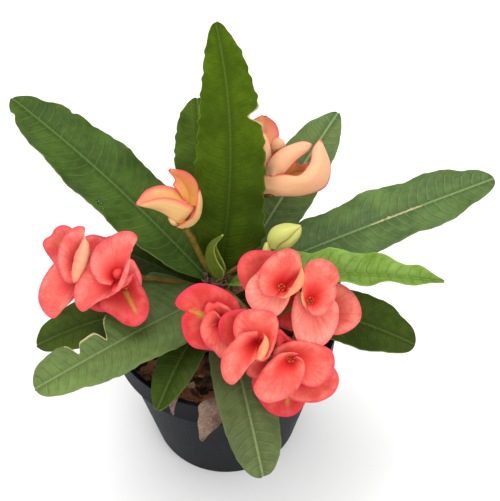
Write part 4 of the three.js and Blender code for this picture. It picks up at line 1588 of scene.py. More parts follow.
@dataclass
class Bloom:
    """Bracts round a small cup.

    faces is the azimuth and elevation that the cup looks along, and rails the same for the axes that
    the bracts are measured on. bud is the place on those axes of a round bud in the cup, and its radius.
    """

    name: str
    at: tuple[float, float, float]
    faces: tuple[float, float]
    bracts: tuple
    open_cup: bool = True
    rails: tuple[float, float] = (-90, 50)
    bud: tuple = ()
    cup_radius: float = 2.6
    cup_depth: float = 3.0
    cup_rise: float = 2.2

    @staticmethod
    def axes(faces: tuple[float, float]) -> tuple[np.ndarray, np.ndarray, np.ndarray]:
        """The way faced, uphill, and to the left of both."""
        axis = direction(*faces)
        uphill = unit(np.array([0, 0, 1]) - axis * axis[2])
        return axis, uphill, np.cross(axis, uphill)

    def cup(self) -> Any:
        """Makes the cup in the middle of the bloom.

        Returns:
            The cup as an object.
        """
        axis, uphill, left = self.axes(self.faces)
        r, sides = self.cup_radius, 20
        profile = [
            (0.3 * r, -self.cup_depth), (0.6 * r, -self.cup_depth), (0.95 * r, -2.1), (r, -1.6), (r, 0.8),
            (0.94 * r, self.cup_rise - 0.5), (0.8 * r, self.cup_rise - 0.1), (0.6 * r, self.cup_rise - 0.3),
            (0.45 * r, self.cup_rise - 0.9), (0.2 * r, self.cup_rise - 1.1),
        ]
        angle = np.linspace(0, 2 * np.pi, sides, endpoint=False)
        points = [
            np.array(self.at) + uphill * q * np.cos(a) + left * q * np.sin(a) + axis * h
            for q, h in profile for a in angle
        ]
        count = len(points)
        values = {"reach": np.full(count, 0.05), "edge": np.zeros(count), "deep": np.full(count, 0.5)}
        return make_object(self.name + "_cup", np.array(points), ring_faces(len(profile), sides), values)

    def round_bud(self, axes: tuple) -> Any:
        """Makes the round bud in the cup.

        Args:
            axes: Forward, up and to the left of both.

        Returns:
            The bud as an object.
        """
        forward, up, left = axes
        x, y, z, radius = self.bud
        rings, sides, cap = 14, 24, 0.06
        u, v = np.meshgrid(
            np.linspace(cap, np.pi - cap, rings), np.linspace(0, 2 * np.pi, sides, False), indexing="ij"
        )
        ball = radius * np.stack([np.sin(u) * np.cos(v), np.sin(u) * np.sin(v), -1.3 * np.cos(u)], axis=-1)
        points = np.array(self.at) + (ball + [x, y, z]).reshape(-1, 3) @ np.array([-left, up, forward])
        count = len(points)
        values = {"reach": np.full(count, 0.3), "edge": np.zeros(count), "deep": np.full(count, 0.1)}
        return make_object("young_bud", points, ring_faces(rings, sides), values)

    def glands(self, group: Repeats) -> None:
        """Sets the ring of nectar glands and the stamens inside the cup.

        Args:
            group: The beads that they join.
        """
        axis, uphill, left = self.axes(self.faces)
        draw = np.random.default_rng(sum(map(ord, self.name)))
        for k in range(5):
            a = 2 * math.pi * (k + draw.uniform(-0.15, 0.15)) / 5
            spoke = uphill * math.cos(a) + left * math.sin(a)
            group.put(
                np.array(self.at) + spoke * 1.75 + axis * (self.cup_rise + 0.1), unit(axis + 0.5 * spoke),
                (1.25, 1.25, 0.8),
            )
        for k in range(6):
            a, r = draw.uniform(0, 6.28), draw.uniform(0.1, 1.0)
            spoke = uphill * math.cos(a) + left * math.sin(a)
            group.put(
                np.array(self.at) + spoke * r + axis * (self.cup_rise + draw.uniform(0, 0.9)), axis,
                (0.6, 0.6, 1.1),
            )

    def build(self, finish: Any, slot: str, node: str) -> Any:
        """Makes and dresses the bloom.

        Args:
            finish: The bracts' material.
            slot: The record's material slot.
            node: The CAD node that the bloom stands for.

        Returns:
            The bloom as an object.
        """
        parts = [self.cup()]
        rails = self.axes(self.rails)
        for k, bract in enumerate(self.bracts):
            parts.append(bract.build(f"{self.name}_bract_{k}", np.array(self.at, float), rails))
        if self.bud:
            parts.append(self.round_bud(rails))
        for part in parts:
            part.data.materials.append(finish)
        return settle(join(node + "_bracts", parts), slot, node)


@dataclass
class YoungLeaf:
    """The youngest leaf, still folded along its midrib like a pod.

    at is its foot, and its rails are measured like a bract's.
    """

    at: tuple[float, float, float]
    pod: Fold
    tissue: BractTissue

    def build(self) -> Any:
        """Makes and dresses the leaf.

        Returns:
            The leaf as an object.
        """
        piece = self.pod.build("young_leaf_pod", np.array(self.at), Bloom.axes(Bloom.rails))
        piece.data.materials.append(self.tissue.material())
        return settle(piece, "leaf_young", "leaf_bud")


@dataclass
class Bunch:
    """A stalk with its hub, stalklets and blooms.

    foot is the height at which the stalk leaves the stem, and azimuth and rise the way that it starts.
    """

    name: str
    foot: float
    azimuth: float
    rise: float
    hub: tuple[float, float, float]
    tissue: BractTissue
    slot: str
    blooms: list
    stalk_radius: float = 1.8
    stalklet_radius: float = 1.3

    def stalk_tree(self) -> bpy.types.NodeTree:
        """Builds the node tree that sweeps a round section along the stalk.

        Returns:
            The tree, with inputs named Sides and Finish.
        """
        tree, given = geometry_tree("stalk_" + self.name, Sides="Int", Finish="Material")
        section = add(
            tree, "GeometryNodeCurvePrimitiveCircle", {"Radius": MM}, {"Resolution": (given, "Sides")}
        )
        # each point's own radius, in millimetres, scales the section
        thickness = add(tree, "GeometryNodeInputRadius")
        swept = add(
            tree, "GeometryNodeCurveToMesh", {"Fill Caps": True},
            {"Curve": (given, "Geometry"), "Profile Curve": section, "Scale": thickness},
        )
        rounded = add(tree, "GeometryNodeSetShadeSmooth", {}, {0: swept})
        solid = add(tree, "GeometryNodeRealizeInstances", {}, {"Geometry": rounded})
        dressed = add(tree, "GeometryNodeSetMaterial", {}, {"Geometry": solid, "Material": (given, "Finish")})
        add(tree, "NodeGroupOutput", {}, {0: dressed})
        return tree

    def build_stalk(self, axis: Route, finish: Any) -> Any:
        """Makes the stalk and its stalklets.

        Args:
            axis: The stem's axis.
            finish: The stalk's material.

        Returns:
            The stalk as an object.
        """
        root, hub = axis.at_height(self.foot), np.array(self.hub, float)
        bow = root + direction(self.azimuth, self.rise) * 0.4 * np.linalg.norm(hub - root)
        runs = [(Route([root, bow, hub]), self.stalk_radius)]
        start = hub - unit(hub - bow) * 2.5
        for bloom in self.blooms:
            facing = bloom.axes(bloom.faces)[0]
            end = np.array(bloom.at) - facing * (bloom.cup_depth - 0.3)
            ease = end - facing * 0.35 * np.linalg.norm(end - start)
            runs.append((Route([start, ease, end]), self.stalklet_radius))
        curve = bpy.data.curves.new("stalk_line", "CURVE")
        curve.dimensions = "3D"
        shares = np.linspace(0, 1, 28)
        swell = 1 + 0.22 * np.exp(-(((shares - 1) / 0.06) ** 2)) + 0.12 * np.exp(-((shares / 0.08) ** 2))
        for route, radius in runs:
            line = curve.splines.new("POLY")
            line.points.add(len(shares) - 1)
            for k, (x, y, z) in enumerate(route.at(shares) * MM):
                line.points[k].co = (x, y, z, 1)
                line.points[k].radius = radius * swell[k]
        seed = stand("stalk_line", curve)
        piece = freeze(seed, self.stalk_tree(), f"stalk_{self.name}_skin", {"Sides": 14, "Finish": finish})
        recalculate(piece)
        return settle(piece, "stalk", "stalk_" + self.name)

    def build(self, axis: Route, stalk_finish: Any, glands: Repeats) -> None:
        """Makes the stalk and the blooms.

        Args:
            axis: The stem's axis.
            stalk_finish: The stalk's material.
            glands: The group that gets the blooms' glands.
        """
        self.build_stalk(axis, stalk_finish)
        finish = self.tissue.material()
        for bloom in self.blooms:
            bloom.build(finish, self.slot, f"bloom_{self.name}_{bloom.name}")
            if bloom.open_cup:
                bloom.glands(glands)


# living bracts of each bunch: fine, softly glossy, a little translucent
CORAL = BractTissue("bract_coral", "#cf2220", "#de594b", "#e87e6c", "#d6284a", "#e29a64")
PINK = BractTissue("bract_pink", "#cf2224", "#df5a50", "#e87e72", "#d6284e", "#e6ac84")
PEACH = BractTissue(
    "bract_peach", "#cf9a3c", "#dea468", "#e27e6a", "#d43450", "#d2b274", "#b06a1c", "#c8902c",
    net=0.16, fibre=0.36, hem=0.8, hem_from=0.84,
)
# a pinker peach for the young right bunch; its lighter body and lip are partly painted light for the rear
# bloom, which lies in the upright leaf's shadow
APRICOT = replace(
    PEACH, name="bract_apricot", body="#e2a470", lip="#ea8c78", back="#dcaa82", shade="#cc6650", fibre=0.26
)
GREEN = BractTissue(
    "bract_bud", "#b4ba5c", "#bcc068", "#c2bc74", "#b8544a", "#bcc068", "#c89a70", net=0.1, hem=0.85
)
# the youngest leaf: the same soft tissue, still green
POD = BractTissue(
    "leaf_unfolding", "#3e4a04", "#586807", "#74860f", "#a4b250", "#4e5c06", "#3c4a06", net=0.12, hem=0.8
)

YOUNG_LEAF = YoungLeaf((-1.2, -7.6, 152), Fold(
    ((0, 0, 0), (2.4, 4.8, 3), (1.7, 7.6, 5), (-0.5, 10.9, 6), (-2.2, 14.6, 7.5), (-3, 20, 8.5),
     (2, 26.8, 10)),
    ((-1, 0.6, 0), (-3.8, 3.6, 1.5), (-6.6, 7.6, 3), (-8.3, 11.4, 4), (-8.6, 15.3, 5.5), (-5.8, 22.3, 8),
     (1.9, 27.7, 10)),
    ((0.3, 0, -1), (2.8, 6.1, -1), (3.1, 8.7, 0), (1.5, 13.1, 2), (-0.5, 17, 4), (-2, 21.5, 6.5),
     (2, 27, 10)), 0.8,
), POD)

MAIN_BLOOMS = [
    Bloom("upper", (33, -37, 184), (-92, 56), (
        Cornet((
            (-2.5, -6, 0.6), (2, -5.5, 1.4), (6.5, -2.5, 3.2), (10.5, 1.5, 4.4), (12, 7, 3.2),
            (11.5, 13.5, 1.2), (9, 19), (4, 21.5), (-2, 19.5), (-8.5, 14.5), (-12.5, 8), (-12.5, 2),
            (-9.5, -3.5), (-4.5, -5),
        )),
        # the outer bract: its pale is partly a paler pink and partly painted light, for it lies in the inner
        # bract's shade
        Cornet((
            (9, 0.5), (6, -2.5), (2.5, -10), (-2.5, -15), (-9, -15.5), (-16, -11), (-19, -6), (-19.5, -1),
            (-17.5, 4), (-13.5, 8), (-9.5, 12),
        ), 2.5, sink=2.4, deep=-0.45),
    )),
    Bloom("right", (48.5, -42, 179), (-80, 52), (
        Cornet((
            (-2, -4), (1.5, -7.5), (6.5, -7), (11.5, -2), (14, 4.5), (13.5, 8.5), (15.5, 12), (14, 17.5),
            (10, 21.5), (4.5, 23), (-1.5, 20.5), (-4.5, 15), (-5.5, 8, 0.8), (-5, 0.5, 1.6),
            (-2.5, -5.5, 0.6),
        )),
        Cornet((
            (12.5, 1.5), (15.5, -3), (15.5, -10), (13, -17.5), (8, -23.5), (1, -25.5), (-6, -22.5), (-9, -16),
            (-10, -8), (-9, -0.5), (-6.5, 6.5),
        ), 2, sink=2.4, deep=-0.35),
    )),
    Bloom("left", (3, -47, 166), (-104, 46), (
        Cornet((
            (-3.5, 3.7), (-5.6, 6.2), (-8.2, 6.8), (-11, 4.6), (-13.2, 0.9), (-14, -3.8), (-13, -8.5),
            (-10.4, -12.5), (-6.5, -15.5), (-3, -19), (3, -18.5),
        ), 7, (-2.5, 0), sink=0.5, deep=0.3),
        Cornet((
            (5, 4), (3, 7.3), (-1, 10.1), (-5, 11.5), (-7.2, 10.6), (-9.5, 11.4), (-11.4, 8.8), (-12, 5.2),
            (-11, 1), (-9, -3),
        ), 5, (-1.5, 1), sink=2, deep=0.55),
        Cornet((
            (8.5, 6.5), (5, 13), (-2, 18.5), (-9, 21), (-15.5, 21.5), (-22, 18.5), (-27, 13.5), (-28, 10),
            (-26, 7.8), (-22, 5.6), (-24, 3.5), (-24.5, -2), (-22.5, -8.5), (-18.5, -13.5), (-12, -15),
            (-6, -15.5), (-1.5, -15),
        ), 1, sink=2.4, deep=0.95, streak=1.1, turn=74, streak_width=3.2),
    ), False),
    Bloom("middle", (21.5, -62, 171), (-104, 44), (
        Cornet((
            (2.5, 4.5, 0.6), (4, 0.5, 2.6), (3.5, -4.5, 4.4), (1, -9, 3.6), (-2.5, -11, 1.2), (-6.5, -14.5),
            (-11, -20.5), (-15, -23.5), (-19, -21), (-21, -14.5), (-20, -7.5), (-15, -1), (-9.5, 4),
            (-1.5, 5),
        ), 9, (-1, -1)),
        Cornet((
            (-2.5, -11.5), (2.5, -11), (6.5, -6), (9, 2), (9.5, 10), (6.5, 15), (0, 16.5), (-7.5, 16),
            (-13, 12), (-14.5, 5), (-12.5, -1),
        ), 4, (1.5, -3), sink=2.4, deep=0.25),
        Cornet((
            (-7.5, 16.5), (-14.5, 15.5), (-20.5, 12.5), (-22.5, 7.5), (-21.5, 1.5), (-17.5, -4), (-12, -5.5),
        ), -3, (-11, 2.5), sink=5, deep=1.15),
    ), False, cup_radius=1.5, cup_rise=0.8),
    Bloom("lower", (38, -66, 159), (-86, 50), (
        Cornet((
            (3.5, 2), (7.5, -0.5, 0.8), (7.5, -5), (6, -11.5), (1.5, -18), (-5.5, -22), (-13.5, -23),
            (-18.5, -19.5), (-20, -15), (-17, -8.5), (-12, -1.5), (-6.5, 3), (-0.5, 4.5, 0.5), (4, 3.5),
        )),
        Cornet((
            (-10, 1), (-8.5, 5), (-3, 8.5), (4.5, 10), (13.5, 8.5), (22, 4.5), (24, -1.5), (22, -9),
            (16.5, -14), (10, -15), (5, -13),
        ), 3, sink=2.4, deep=0.4),
    )),
    Bloom("rear_left", (27.5, -29, 180), (-90, 68), (
        Cornet((
            (9.5, 10.5), (4, 15.5), (-5, 17), (-12.5, 16), (-17, 12), (-18.5, 7), (-17.5, 1), (-14, -5.5),
            (-7, -9.5),
        ), 3, deep=0.75),
    )),
    Bloom("rear_right", (56, -35, 158), (-66, 54), (
        # the front bract: its pale is painted light on a bract that lies in shade
        Cornet((
            (-1.5, -9), (7.5, -11), (16, -8), (21, -2.5), (21.5, 3), (19, 9.5), (14, 15), (8, 17.5),
            (1.5, 14.5),
        ), 10, tilt=(0.1, -0.15), sink=4, deep=-0.12),
        # the bract behind: its deep red is partly painted shade in the gap behind the front bract
        Cornet((
            (-14, 13.5), (-18.5, 9), (-22.5, 2.5), (-25, -2.5), (-23, -7), (-20, -9), (-15.5, -10),
            (-9.5, -9),
        ), -2, (-12, 1), deep=1),
    )),
    Bloom("under", (39, -69, 147), (-80, 44), (
        Cornet((
            (21.5, 6.5), (25, 1.5), (26, -3.5), (23, -10), (16.5, -14), (8, -15), (-1, -13), (-7, -8.5),
        ), 1, (4.5, -1.5), deep=0.45),
        Cornet((
            (9, -12.5), (6, -18), (0.5, -22.5), (-6, -23), (-13, -20), (-18, -14), (-21.5, -7.5),
            (-21.5, -1.5), (-16.5, 3),
        ), -2, (-2, -3.5), sink=4, deep=0.95, streak=0.9, turn=178),
        Cornet(((-15.5, 9.5), (-21, 8), (-25, 1.5), (-22.5, -1), (-17.5, -2), (-13, 1)), 2, (-13, 7.5),
               deep=0.5),
        Cornet((
            (-10, 10.5), (-8.5, 17.5), (-8.5, 25), (-7, 26), (-2.5, 22), (3, 18.5), (5.5, 16),
        ), 8, (-2, 14), sink=-4, deep=1),
    )),
]
LEFT_BLOOMS = [
    Bloom("front", (-59, -20, 169), (-98, 60), (
        Cornet((
            (-3, -9.5, 0.5), (2.5, -5.5, 2.2), (6, 0.5, 2.8), (8, 6.5, 2.6), (9.5, 12.5, 1.6),
            (10.5, 18.5, 0.8), (12.5, 23.5), (10, 27), (3.5, 27.5), (-4, 24), (-11, 18.5), (-14, 11),
            (-13, 4.5), (-8.5, -1), (-2.5, -2.5),
        ), 8, (-0.5, 1), blush=0.8),
        Cornet((
            (10, 4), (7.5, -2, 0.6), (3, -5.5, 1), (-3, -9, 1.6), (-11, -13.5, 1), (-19, -17.5),
            (-22.5, -14.5), (-24, -8.5), (-22.5, -0.5), (-19, 7.5), (-15, 14),
        ), 1, (-2.5, -1.5), sink=2.4, blush=0.8),
    ), False, bud=(1.2, 4, 3.5, 3), cup_radius=3.6, cup_rise=0.8),
    Bloom("middle", (-80, -10, 169), (-150, 48), (
        Cornet((
            (-2, -9.5, 1.5), (0.5, -4.5, 4.4), (4, 2, 6.4), (5.5, 8, 6.2), (5, 13.5, 3.4), (4, 18.5, 1),
            (3, 22.5), (-1, 23), (-6.5, 19.5), (-10.5, 13.5), (-12, 5.5), (-10.5, -3.5), (-7.5, -8.5),
            (-4, -9.5),
        ), 8, (0.5, 0.5)),
        Cornet((
            (-1, -13), (-4.5, -18.5), (-9.5, -24.5, 0.8), (-16, -29.5), (-21, -26.5), (-24.5, -19),
            (-23, -9.5), (-18, -1), (-12, 5), (-5, 7.5),
        ), 0, (-0.5, -2), sink=2.4),
    ), False, cup_radius=1.5, cup_rise=0.8),
    Bloom("rear", (-88, 8, 161), (-100, 60), (
        Cornet((
            (-9, -8.5), (-15.5, 0.5), (-17, 5), (-15.5, 7.5), (-12, 9.5), (-9.5, 13.5), (-5.5, 15.5),
            (-1, 14.5), (3.5, 10.5), (7, 4.5),
        ), 2, (1.5, -1.5), deep=0.5, streak=0.9, turn=54),
        Cornet(((5, -4), (5.5, 3), (7, 8), (12, 10), (17.5, 9), (23, 7), (27, 1)), 2, (15.5, -6),
               deep=0.3),
    )),
    Bloom("under", (-55.5, -14, 157), (-90, 50), (
        Cornet((
            (2.5, 10), (6.5, 6), (9, 1), (12.5, -5), (14.5, -12), (13, -18.5), (7.5, -22.5), (1, -21.5),
            (-5.5, -17), (-13, -12.5), (-13.5, -8.5), (-7.5, -5),
        ), 6, (-1, -1.5), (0, -0.4), deep=0.9, streak=1, turn=-147, streak_width=1.7),
        Cornet(((-23.5, -7), (-22, -11), (-18, -14), (-12, -15), (-7, -13.5), (-3, -10)), 4, (-7.5, -3.5),
               deep=0.9),
        Cornet(((-1, 13.5), (4, 15), (7.5, 10), (9.5, 5), (9, -0.5), (4.5, -1.5)), 3, (-1, 5.5)),
    )),
]
YOUNG_LEFT_BLOOMS = [
    Bloom("single", (-22, 4, 191), (156, 64), (
        Fold(
            ((3.3, 11.2, -3), (-3.5, 19.3, -8), (-12.5, 21.5, -9), (-20.9, 18.5, -6), (-25.9, 11.2, 0)),
            ((-0.7, -1.2, -1), (-6.8, 3.3, 0), (-12.5, 6.7, 0), (-19.2, 8.9, 1), (-25.4, 10, 1)),
            ((7.2, 8.4, 3), (-1.8, 12.6, 7), (-9.6, 14, 7), (-18, 12.3, 5), (-24.2, 9.8, 2)), 1.4,
        ),
        Fold(
            ((1, 12.8, -4), (-2.9, 18.5, -4), (-5.2, 21.3, -3), (-4, 24, -2), (-8, 30, 3)),
            ((3.3, 9.5, -5), (3.8, 15.7, -6), (2.1, 20.7, -6), (-1.8, 25.2, -4), (-7.4, 29.1, 2)),
            ((8.3, 8.9, 2), (8.9, 15.7, 1), (7.7, 22.9, 0), (2.7, 28, 1), (-6.8, 30.2, 3)), 0.8,
            streak=0.9, warm=0.4,
        ),
        Fold(
            ((-2.9, -2.3, 3), (2.7, 0.8, 6), (6.1, 3.3, 6.5), (8, 8.4, 6), (8.9, 17.3, 4)),
            ((0.4, -3.1, -1), (5.5, -1.2, -1), (9.4, 3.3, -1), (10.8, 11.2, -1), (9.7, 18.5, 0)),
            ((-1.2, -1.7, -5), (2.1, 0.5, -6), (4.4, 5.6, -7), (4.9, 11.2, -8), (4.4, 17.3, -7)), 0.8,
        ),
        Fold(
            ((-6.8, 5, -2), (-7.8, 2.2, -2), (-5.7, -0.9, -2), (-2.4, -1.5, -2)),
            ((-6.3, 4.7, -3), (-5.7, 2.2, -1), (-4, 0, -1), (-2.4, -1, -2)),
            ((-5.7, 4.4, -3), (-3.8, 2.2, -3), (-3, 1, -3), (-2.4, 0, -3)), 0.5,
        ),
    ), False, cup_radius=2),
]
YOUNG_RIGHT_BLOOMS = [
    Bloom("right", (38, 34, 184.5), (10, 5), (
        Fold(
            ((-15, 9, 0), (-2.7, 9.6, 6), (6, 8.6, 8), (12.4, 15.6, 8), (14.2, 24.3, 6), (18.5, 30.1, 3)),
            ((-14, 1.6, 2), (1.5, 2.1, 8), (10.7, 5.1, 11), (17.7, 12.6, 11), (19.4, 21.4, 8),
             (18.8, 29.5, 3)),
            ((-15, -2.5, -3), (-2.2, -2.7, 2), (8.9, -2.5, 3), (21.7, 2.7, 3), (24.7, 13.8, 2),
             (19.4, 29.5, 2)),
            1.2,
        ),
        Fold(
            ((-12.7, 9, 0), (-10.9, 17.1, 1), (-5.1, 23.6, 2), (2.5, 27.1, 2), (9.5, 28.8, 2),
             (14.2, 27.3, 1)),
            ((-9.2, 9, 4), (-5.7, 16, 8), (-0.4, 20.6, 9), (5.4, 24.1, 7), (10.7, 25.9, 4),
             (14.2, 27.1, 1.5)),
            ((-2.7, 9.3, 3), (1.3, 13.6, 5), (4.8, 17.7, 5), (8.3, 20.6, 4), (11.8, 23.6, 3),
             (14.2, 27.1, 1)),
            1.2, 0.45,
        ),
        Fold(
            ((-2.7, 9, 2), (0.2, 13.6, 1), (4.8, 17.4, 1), (6, 14.8, 2), (11.8, 16.6, 5)),
            ((-2.5, 7, -1), (1, 10, -3), (5, 12, -3), (8, 12, -2), (12, 13, 3)),
            ((-2, 4, 1), (2, 5, 0), (5, 6, 0), (8, 7, 0), (11, 9, 3)), 0.5, streak=1,
        ),
    ), False, cup_radius=1.6, cup_rise=1),
    Bloom("rear", (20, 50, 191), (-80, 58), (
        # the top bract: warm spreads the tip's pale colour down to its root, partly as painted light, for it
        # lies in the upright leaf's shadow
        Fold(
            ((-0.5, 8.3, 0), (-3.4, 17.1, 1), (-2.8, 24.7, 1), (3, 28.5, 1)),
            ((3, 8.3, -2), (3.6, 15.9, -4), (4.2, 23, -3), (4.2, 28.2, 0)),
            ((7.7, 10.6, 2), (12.7, 15.9, 2), (11.3, 23, 1), (5.4, 28.2, 1)), 0.6, warm=1.7,
        ),
        Fold(
            ((7.7, 11.2, 0), (11.9, 15.3, 2), (15.4, 13, 2), (17.1, 10, 1)),
            ((8.9, 8.9, 1), (11.9, 10.6, 3), (14.8, 10, 3), (16.6, 9.2, 1.5)),
            ((10.1, 6.5, 0), (12.4, 7.4, 2), (14.8, 8.3, 2), (16.8, 8.9, 1)), 0.5, streak=0.5,
        ),
        Fold(
            ((1.9, -2.3, 1), (1.3, 5.3, 3), (1.3, 13, 3), (3, 18.8, 1)),
            ((4.8, -2.9, 3), (5.4, 4.2, 5), (4.8, 11.8, 5), (3.6, 18.3, 2)),
            ((6.6, -1.1, 1), (8.3, 6.5, 2), (6.6, 13, 3), (4.2, 18.3, 1)), 0.6,
        ),
        Fold(
            ((5, -2, -4), (6, 5, -5), (7, 12, -4), (9, 15, -3)),
            ((8, -1, -6), (9, 5, -7), (10, 11, -6), (10, 14, -4)),
            ((11, 1, -4), (13, 6, -4), (13, 11, -3), (11, 14, -3)), 0.5, streak=1,
        ),
    )),
]
BUD_BLOOMS = [
    Bloom("single", (32, -3, 176), (-10, 62), (
        Fold(
            ((-4.1, -0.2, 0), (-6.1, 5.5, 0), (-3.5, 11.7, 0), (3.3, 14.6, 0), (12.9, 13.7, 1)),
            ((-2.9, 0.4, 3), (-2.9, 5.5, 6), (0.5, 9.5, 8), (5.6, 11.7, 7), (12.9, 13.4, 1.5)),
            ((-1.8, -0.2, 4), (1, 3.2, 6.5), (5, 5.8, 7), (9, 10, 5.5), (12.9, 13.4, 2)), 0.8,
        ),
        Fold(
            ((-2.2, 0.3, 3), (0.6, 3.8, 5.4), (4.4, 6.6, 5.8), (8.4, 10.6, 4.4), (12.7, 13.6, 1)),
            ((0.5, -0.7, 2), (4.4, 1.5, 4.5), (7.8, 4.4, 5), (11.2, 8.3, 4), (12.9, 12.9, 1)),
            ((-0.1, -1.3, -1), (4.4, 0.1, -1), (8.4, 2.9, -1), (11.8, 7.2, -1), (13.2, 12.3, 0)),
            0.6, 0.35,
        ),
        Fold(
            ((-4.1, -0.2, 0), (-6.1, 5.5, 0), (-3.5, 11.7, 0), (3.3, 14.6, 0), (12.9, 13.7, 0)),
            ((-3, 0, -3), (-3, 5, -5), (1, 8, -6), (6, 9, -5), (12.9, 13, -1)),
            ((-0.1, -1.3, -1), (4.4, 0.1, -1), (8.4, 2.9, -1), (11.8, 7.2, -1), (13.2, 12.3, 0)), 0.6,
        ),
        Fold(
            ((-9, -1.5, 0), (-8.2, 1.5, 0), (-6.9, 4, 0)),
            ((-6.5, -1.5, 3), (-6.5, 1.5, 2.5), (-6.8, 4, 0.5)),
            ((-4, -1.2, 0), (-5, 1.8, 0), (-6.7, 4, 0)), 0.4, 0.5,
        ),
    ), False),
]

BUNCHES = [
    Bunch("main", 141, -58, 30, (23, -38, 149), CORAL, "bract_coral", MAIN_BLOOMS),
    Bunch("left", 133, 172, 20, (-49, -3, 150.3), PINK, "bract_pink", LEFT_BLOOMS, 1.4),
    Bunch("young_left", 149.5, 156, 58, (-17.5, 2.5, 181), PEACH, "bract_peach", YOUNG_LEFT_BLOOMS,
          1.85, 1.85),
    Bunch("young_right", 139, 70, 50, (18, 38, 177), APRICOT, "bract_peach", YOUNG_RIGHT_BLOOMS),
    Bunch("bud", 147.5, 14, 36, (27, 3, 168), GREEN, "bract_bud", BUD_BLOOMS, 1.25, 1.2),
]


# ---------- litter ----------


@dataclass
class Litter:
    """A dry scrap that hangs over the pot's rim.

    Its route runs from the mix over the rim, and its edges lift by curl.
    """

    name: str
    route: list
    width: float
    finish: Mottled
    curl: float = 0.6
    rows: int = 60
    columns: int = 19
    thickness: float = 0.7

    def build(self) -> Any:
        """Makes and dresses the scrap.

        Returns:
            The scrap as an object.
        """
        path = Route(self.route)
        s, v = np.linspace(0, 1, self.rows), np.linspace(-1, 1, self.columns)
        sg, vg = np.meshgrid(s, v, indexing="ij")
        centre = path.at(s)
        outward = unit(centre * [1, 1, 0])
        across = np.stack([-outward[:, 1], outward[:, 0], 0 * s], axis=-1)
        half = np.maximum(0.3, self.width / 2 * np.sin(np.pi * lerp(0.06, 0.998, sg**1.3)))
        ragged = 1 + 0.1 * np.sin(9 * sg + 2 * vg) + 0.05 * np.sin(31 * sg + 3 * vg) * np.abs(vg)
        lift = self.curl * vg**2 + 0.3 * np.sin(14 * sg + 5 * vg) * vg**2 - 0.25 * np.exp(-((vg / 0.12) ** 2))
        points = centre[:, None] + across[:, None] * (vg * half * ragged)[..., None]
        points[..., 2] += lift
        thickness = np.full_like(sg, self.thickness)
        piece = blade(self.name + "_scrap", points, thickness, {"across": vg})
        piece.data.materials.append(self.finish.material())
        return settle(piece, self.name, self.name)


LITTER = [
    # dead leaf: dry, papery, grey-brown
    Litter(
        "dead_leaf",
        [(6, -49, 102.4), (1, -61, 112), (-4, -69.3, 117), (-7.5, -75.5, 109.4), (-12, -80.5, 96.4)], 16,
        Mottled(
            "dry_dead_leaf", "#523e32", "#947866", 10, 1.2, roughness=(0.75, 0.95), relief_mm=0.3,
            speck="#3a2c26", speck_share=0.4,
        ),
    ),
    # fibrous inner bark, dry and dull
    Litter(
        "bark_strip",
        [(-25, -52, 102.6), (-26, -58, 113.8), (-28, -63.2, 117), (-29, -66.4, 114), (-28.5, -68, 104.4)], 5,
        Mottled("fibrous_bark", "#4a3530", "#8a6a5e", 6, 0.9, roughness=(0.75, 0.9), relief_mm=0.25), 0.3,
    ),
]


# ---------- studio ----------


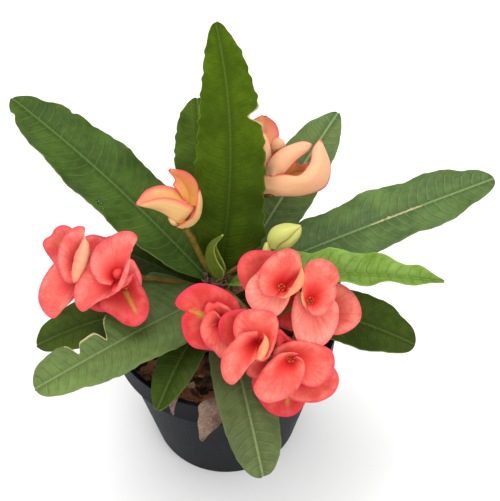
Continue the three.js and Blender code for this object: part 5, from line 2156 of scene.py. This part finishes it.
@dataclass
class Studio:
    """The plain pale floor, the soft light and the camera.

    Each softbox is its name, its place and width in metres, and its power in watts.
    """

    target: tuple[float, float, float] = (16, 0, 171.5)
    distance: float = 650
    elevation: float = 50
    focal_px: float = 1137
    frame_px: float = 501
    sensor: float = 36
    floor_half: float = 3000
    sky_strength: float = 0.98
    softboxes: tuple = (
        ("softbox_key", (-0.25, 0.35, 1.5), 1.2, 13.5),
        ("softbox_fill", (0.7, -1.0, 0.9), 1.0, 8.5),
    )

    def build(self) -> None:
        """Sets up the floor, the lights and the camera."""
        half = self.floor_half
        corners = np.array([(-half, -half, 0), (half, -half, 0), (half, half, 0), (-half, half, 0)])
        floor = make_object("studio_floor", corners, [(0, 1, 2, 3)])
        # matt white paper: even, without gloss
        paper, tree = blank_material("matt_white_paper")
        skin = add(tree, "ShaderNodeBsdfPrincipled", {"Base Color": linear("#f4f4f4"), "Roughness": 0.9})
        add(tree, "ShaderNodeOutputMaterial", {}, {"Surface": skin})
        floor.data.materials.append(paper)

        world = bpy.data.worlds.new("even_sky")
        world.use_nodes = True
        sky = world.node_tree
        sky.nodes.clear()
        glow = add(sky, "ShaderNodeBackground", {"Color": linear("#ffffff"), "Strength": self.sky_strength})
        add(sky, "ShaderNodeOutputWorld", {}, {"Surface": glow})
        bpy.context.scene.world = world

        target = Vector(self.target) * MM
        for name, place, size, power in self.softboxes:
            lamp = bpy.data.lights.new(name, "AREA")
            lamp.shape, lamp.size, lamp.energy = "DISK", size, power
            holder = stand(name, lamp)
            holder.location = place
            holder.rotation_euler = (target - Vector(place)).to_track_quat("-Z", "Y").to_euler()

        lens = bpy.data.cameras.new("viewer")
        lens.sensor_width = self.sensor
        lens.lens = self.focal_px * self.sensor / self.frame_px
        lens.clip_start, lens.clip_end = 0.01, 20
        camera = stand("viewer", lens)
        tilt = math.radians(self.elevation)
        back = Vector((0, -math.cos(tilt), math.sin(tilt)))
        camera.location = target + back * self.distance * MM
        camera.rotation_euler = (-back).to_track_quat("-Z", "Y").to_euler()
        bpy.context.scene.camera = camera
        bpy.context.scene.view_settings.view_transform = "Standard"


def main() -> None:
    """Builds the plant piece by piece."""
    Studio().build()
    finishes = {tone: tone.value.material() for tone in Tone}
    wood = Wood()
    blades = [leaf.build(wood.axis, finishes[leaf.tone]) for leaf in LEAVES] + [YOUNG_LEAF.build()]
    Dew(next(leaf for leaf in LEAVES if leaf.name == "leaf_left")).build(wood.axis)
    # stalk skin: smooth green-brown
    stalk = Mottled(
        "stalk_skin", "#4a3c10", "#7c6424", 9, 1.5, roughness=(0.45, 0.6), relief_mm=0.08, gloss=0.15
    ).material()
    glands = Repeats("cyathium_glands", Bit.BEAD, 10)
    for bunch in BUNCHES:
        bunch.build(wood.axis, stalk, glands)
    # nectar gland: waxy, orange-brown
    wax = Mottled("nectar_gland", "#8a2a14", "#d0802c", 1.5, 0.6, roughness=(0.3, 0.45), relief_mm=0.05)
    settle(glands.build(wax.material()), "bract_coral")
    graph = bpy.context.evaluated_depsgraph_get()
    keep_clear = [BVHTree.FromObject(piece, graph) for piece in blades]
    wood.build(keep_clear)
    pot = Pot()
    pot.build()
    PottingMix(pot).build()
    for scrap in LITTER:
        scrap.build()


if __name__ == "__main__":
    logging.basicConfig(level=logging.INFO, format="%(name)s %(message)s")
    main()
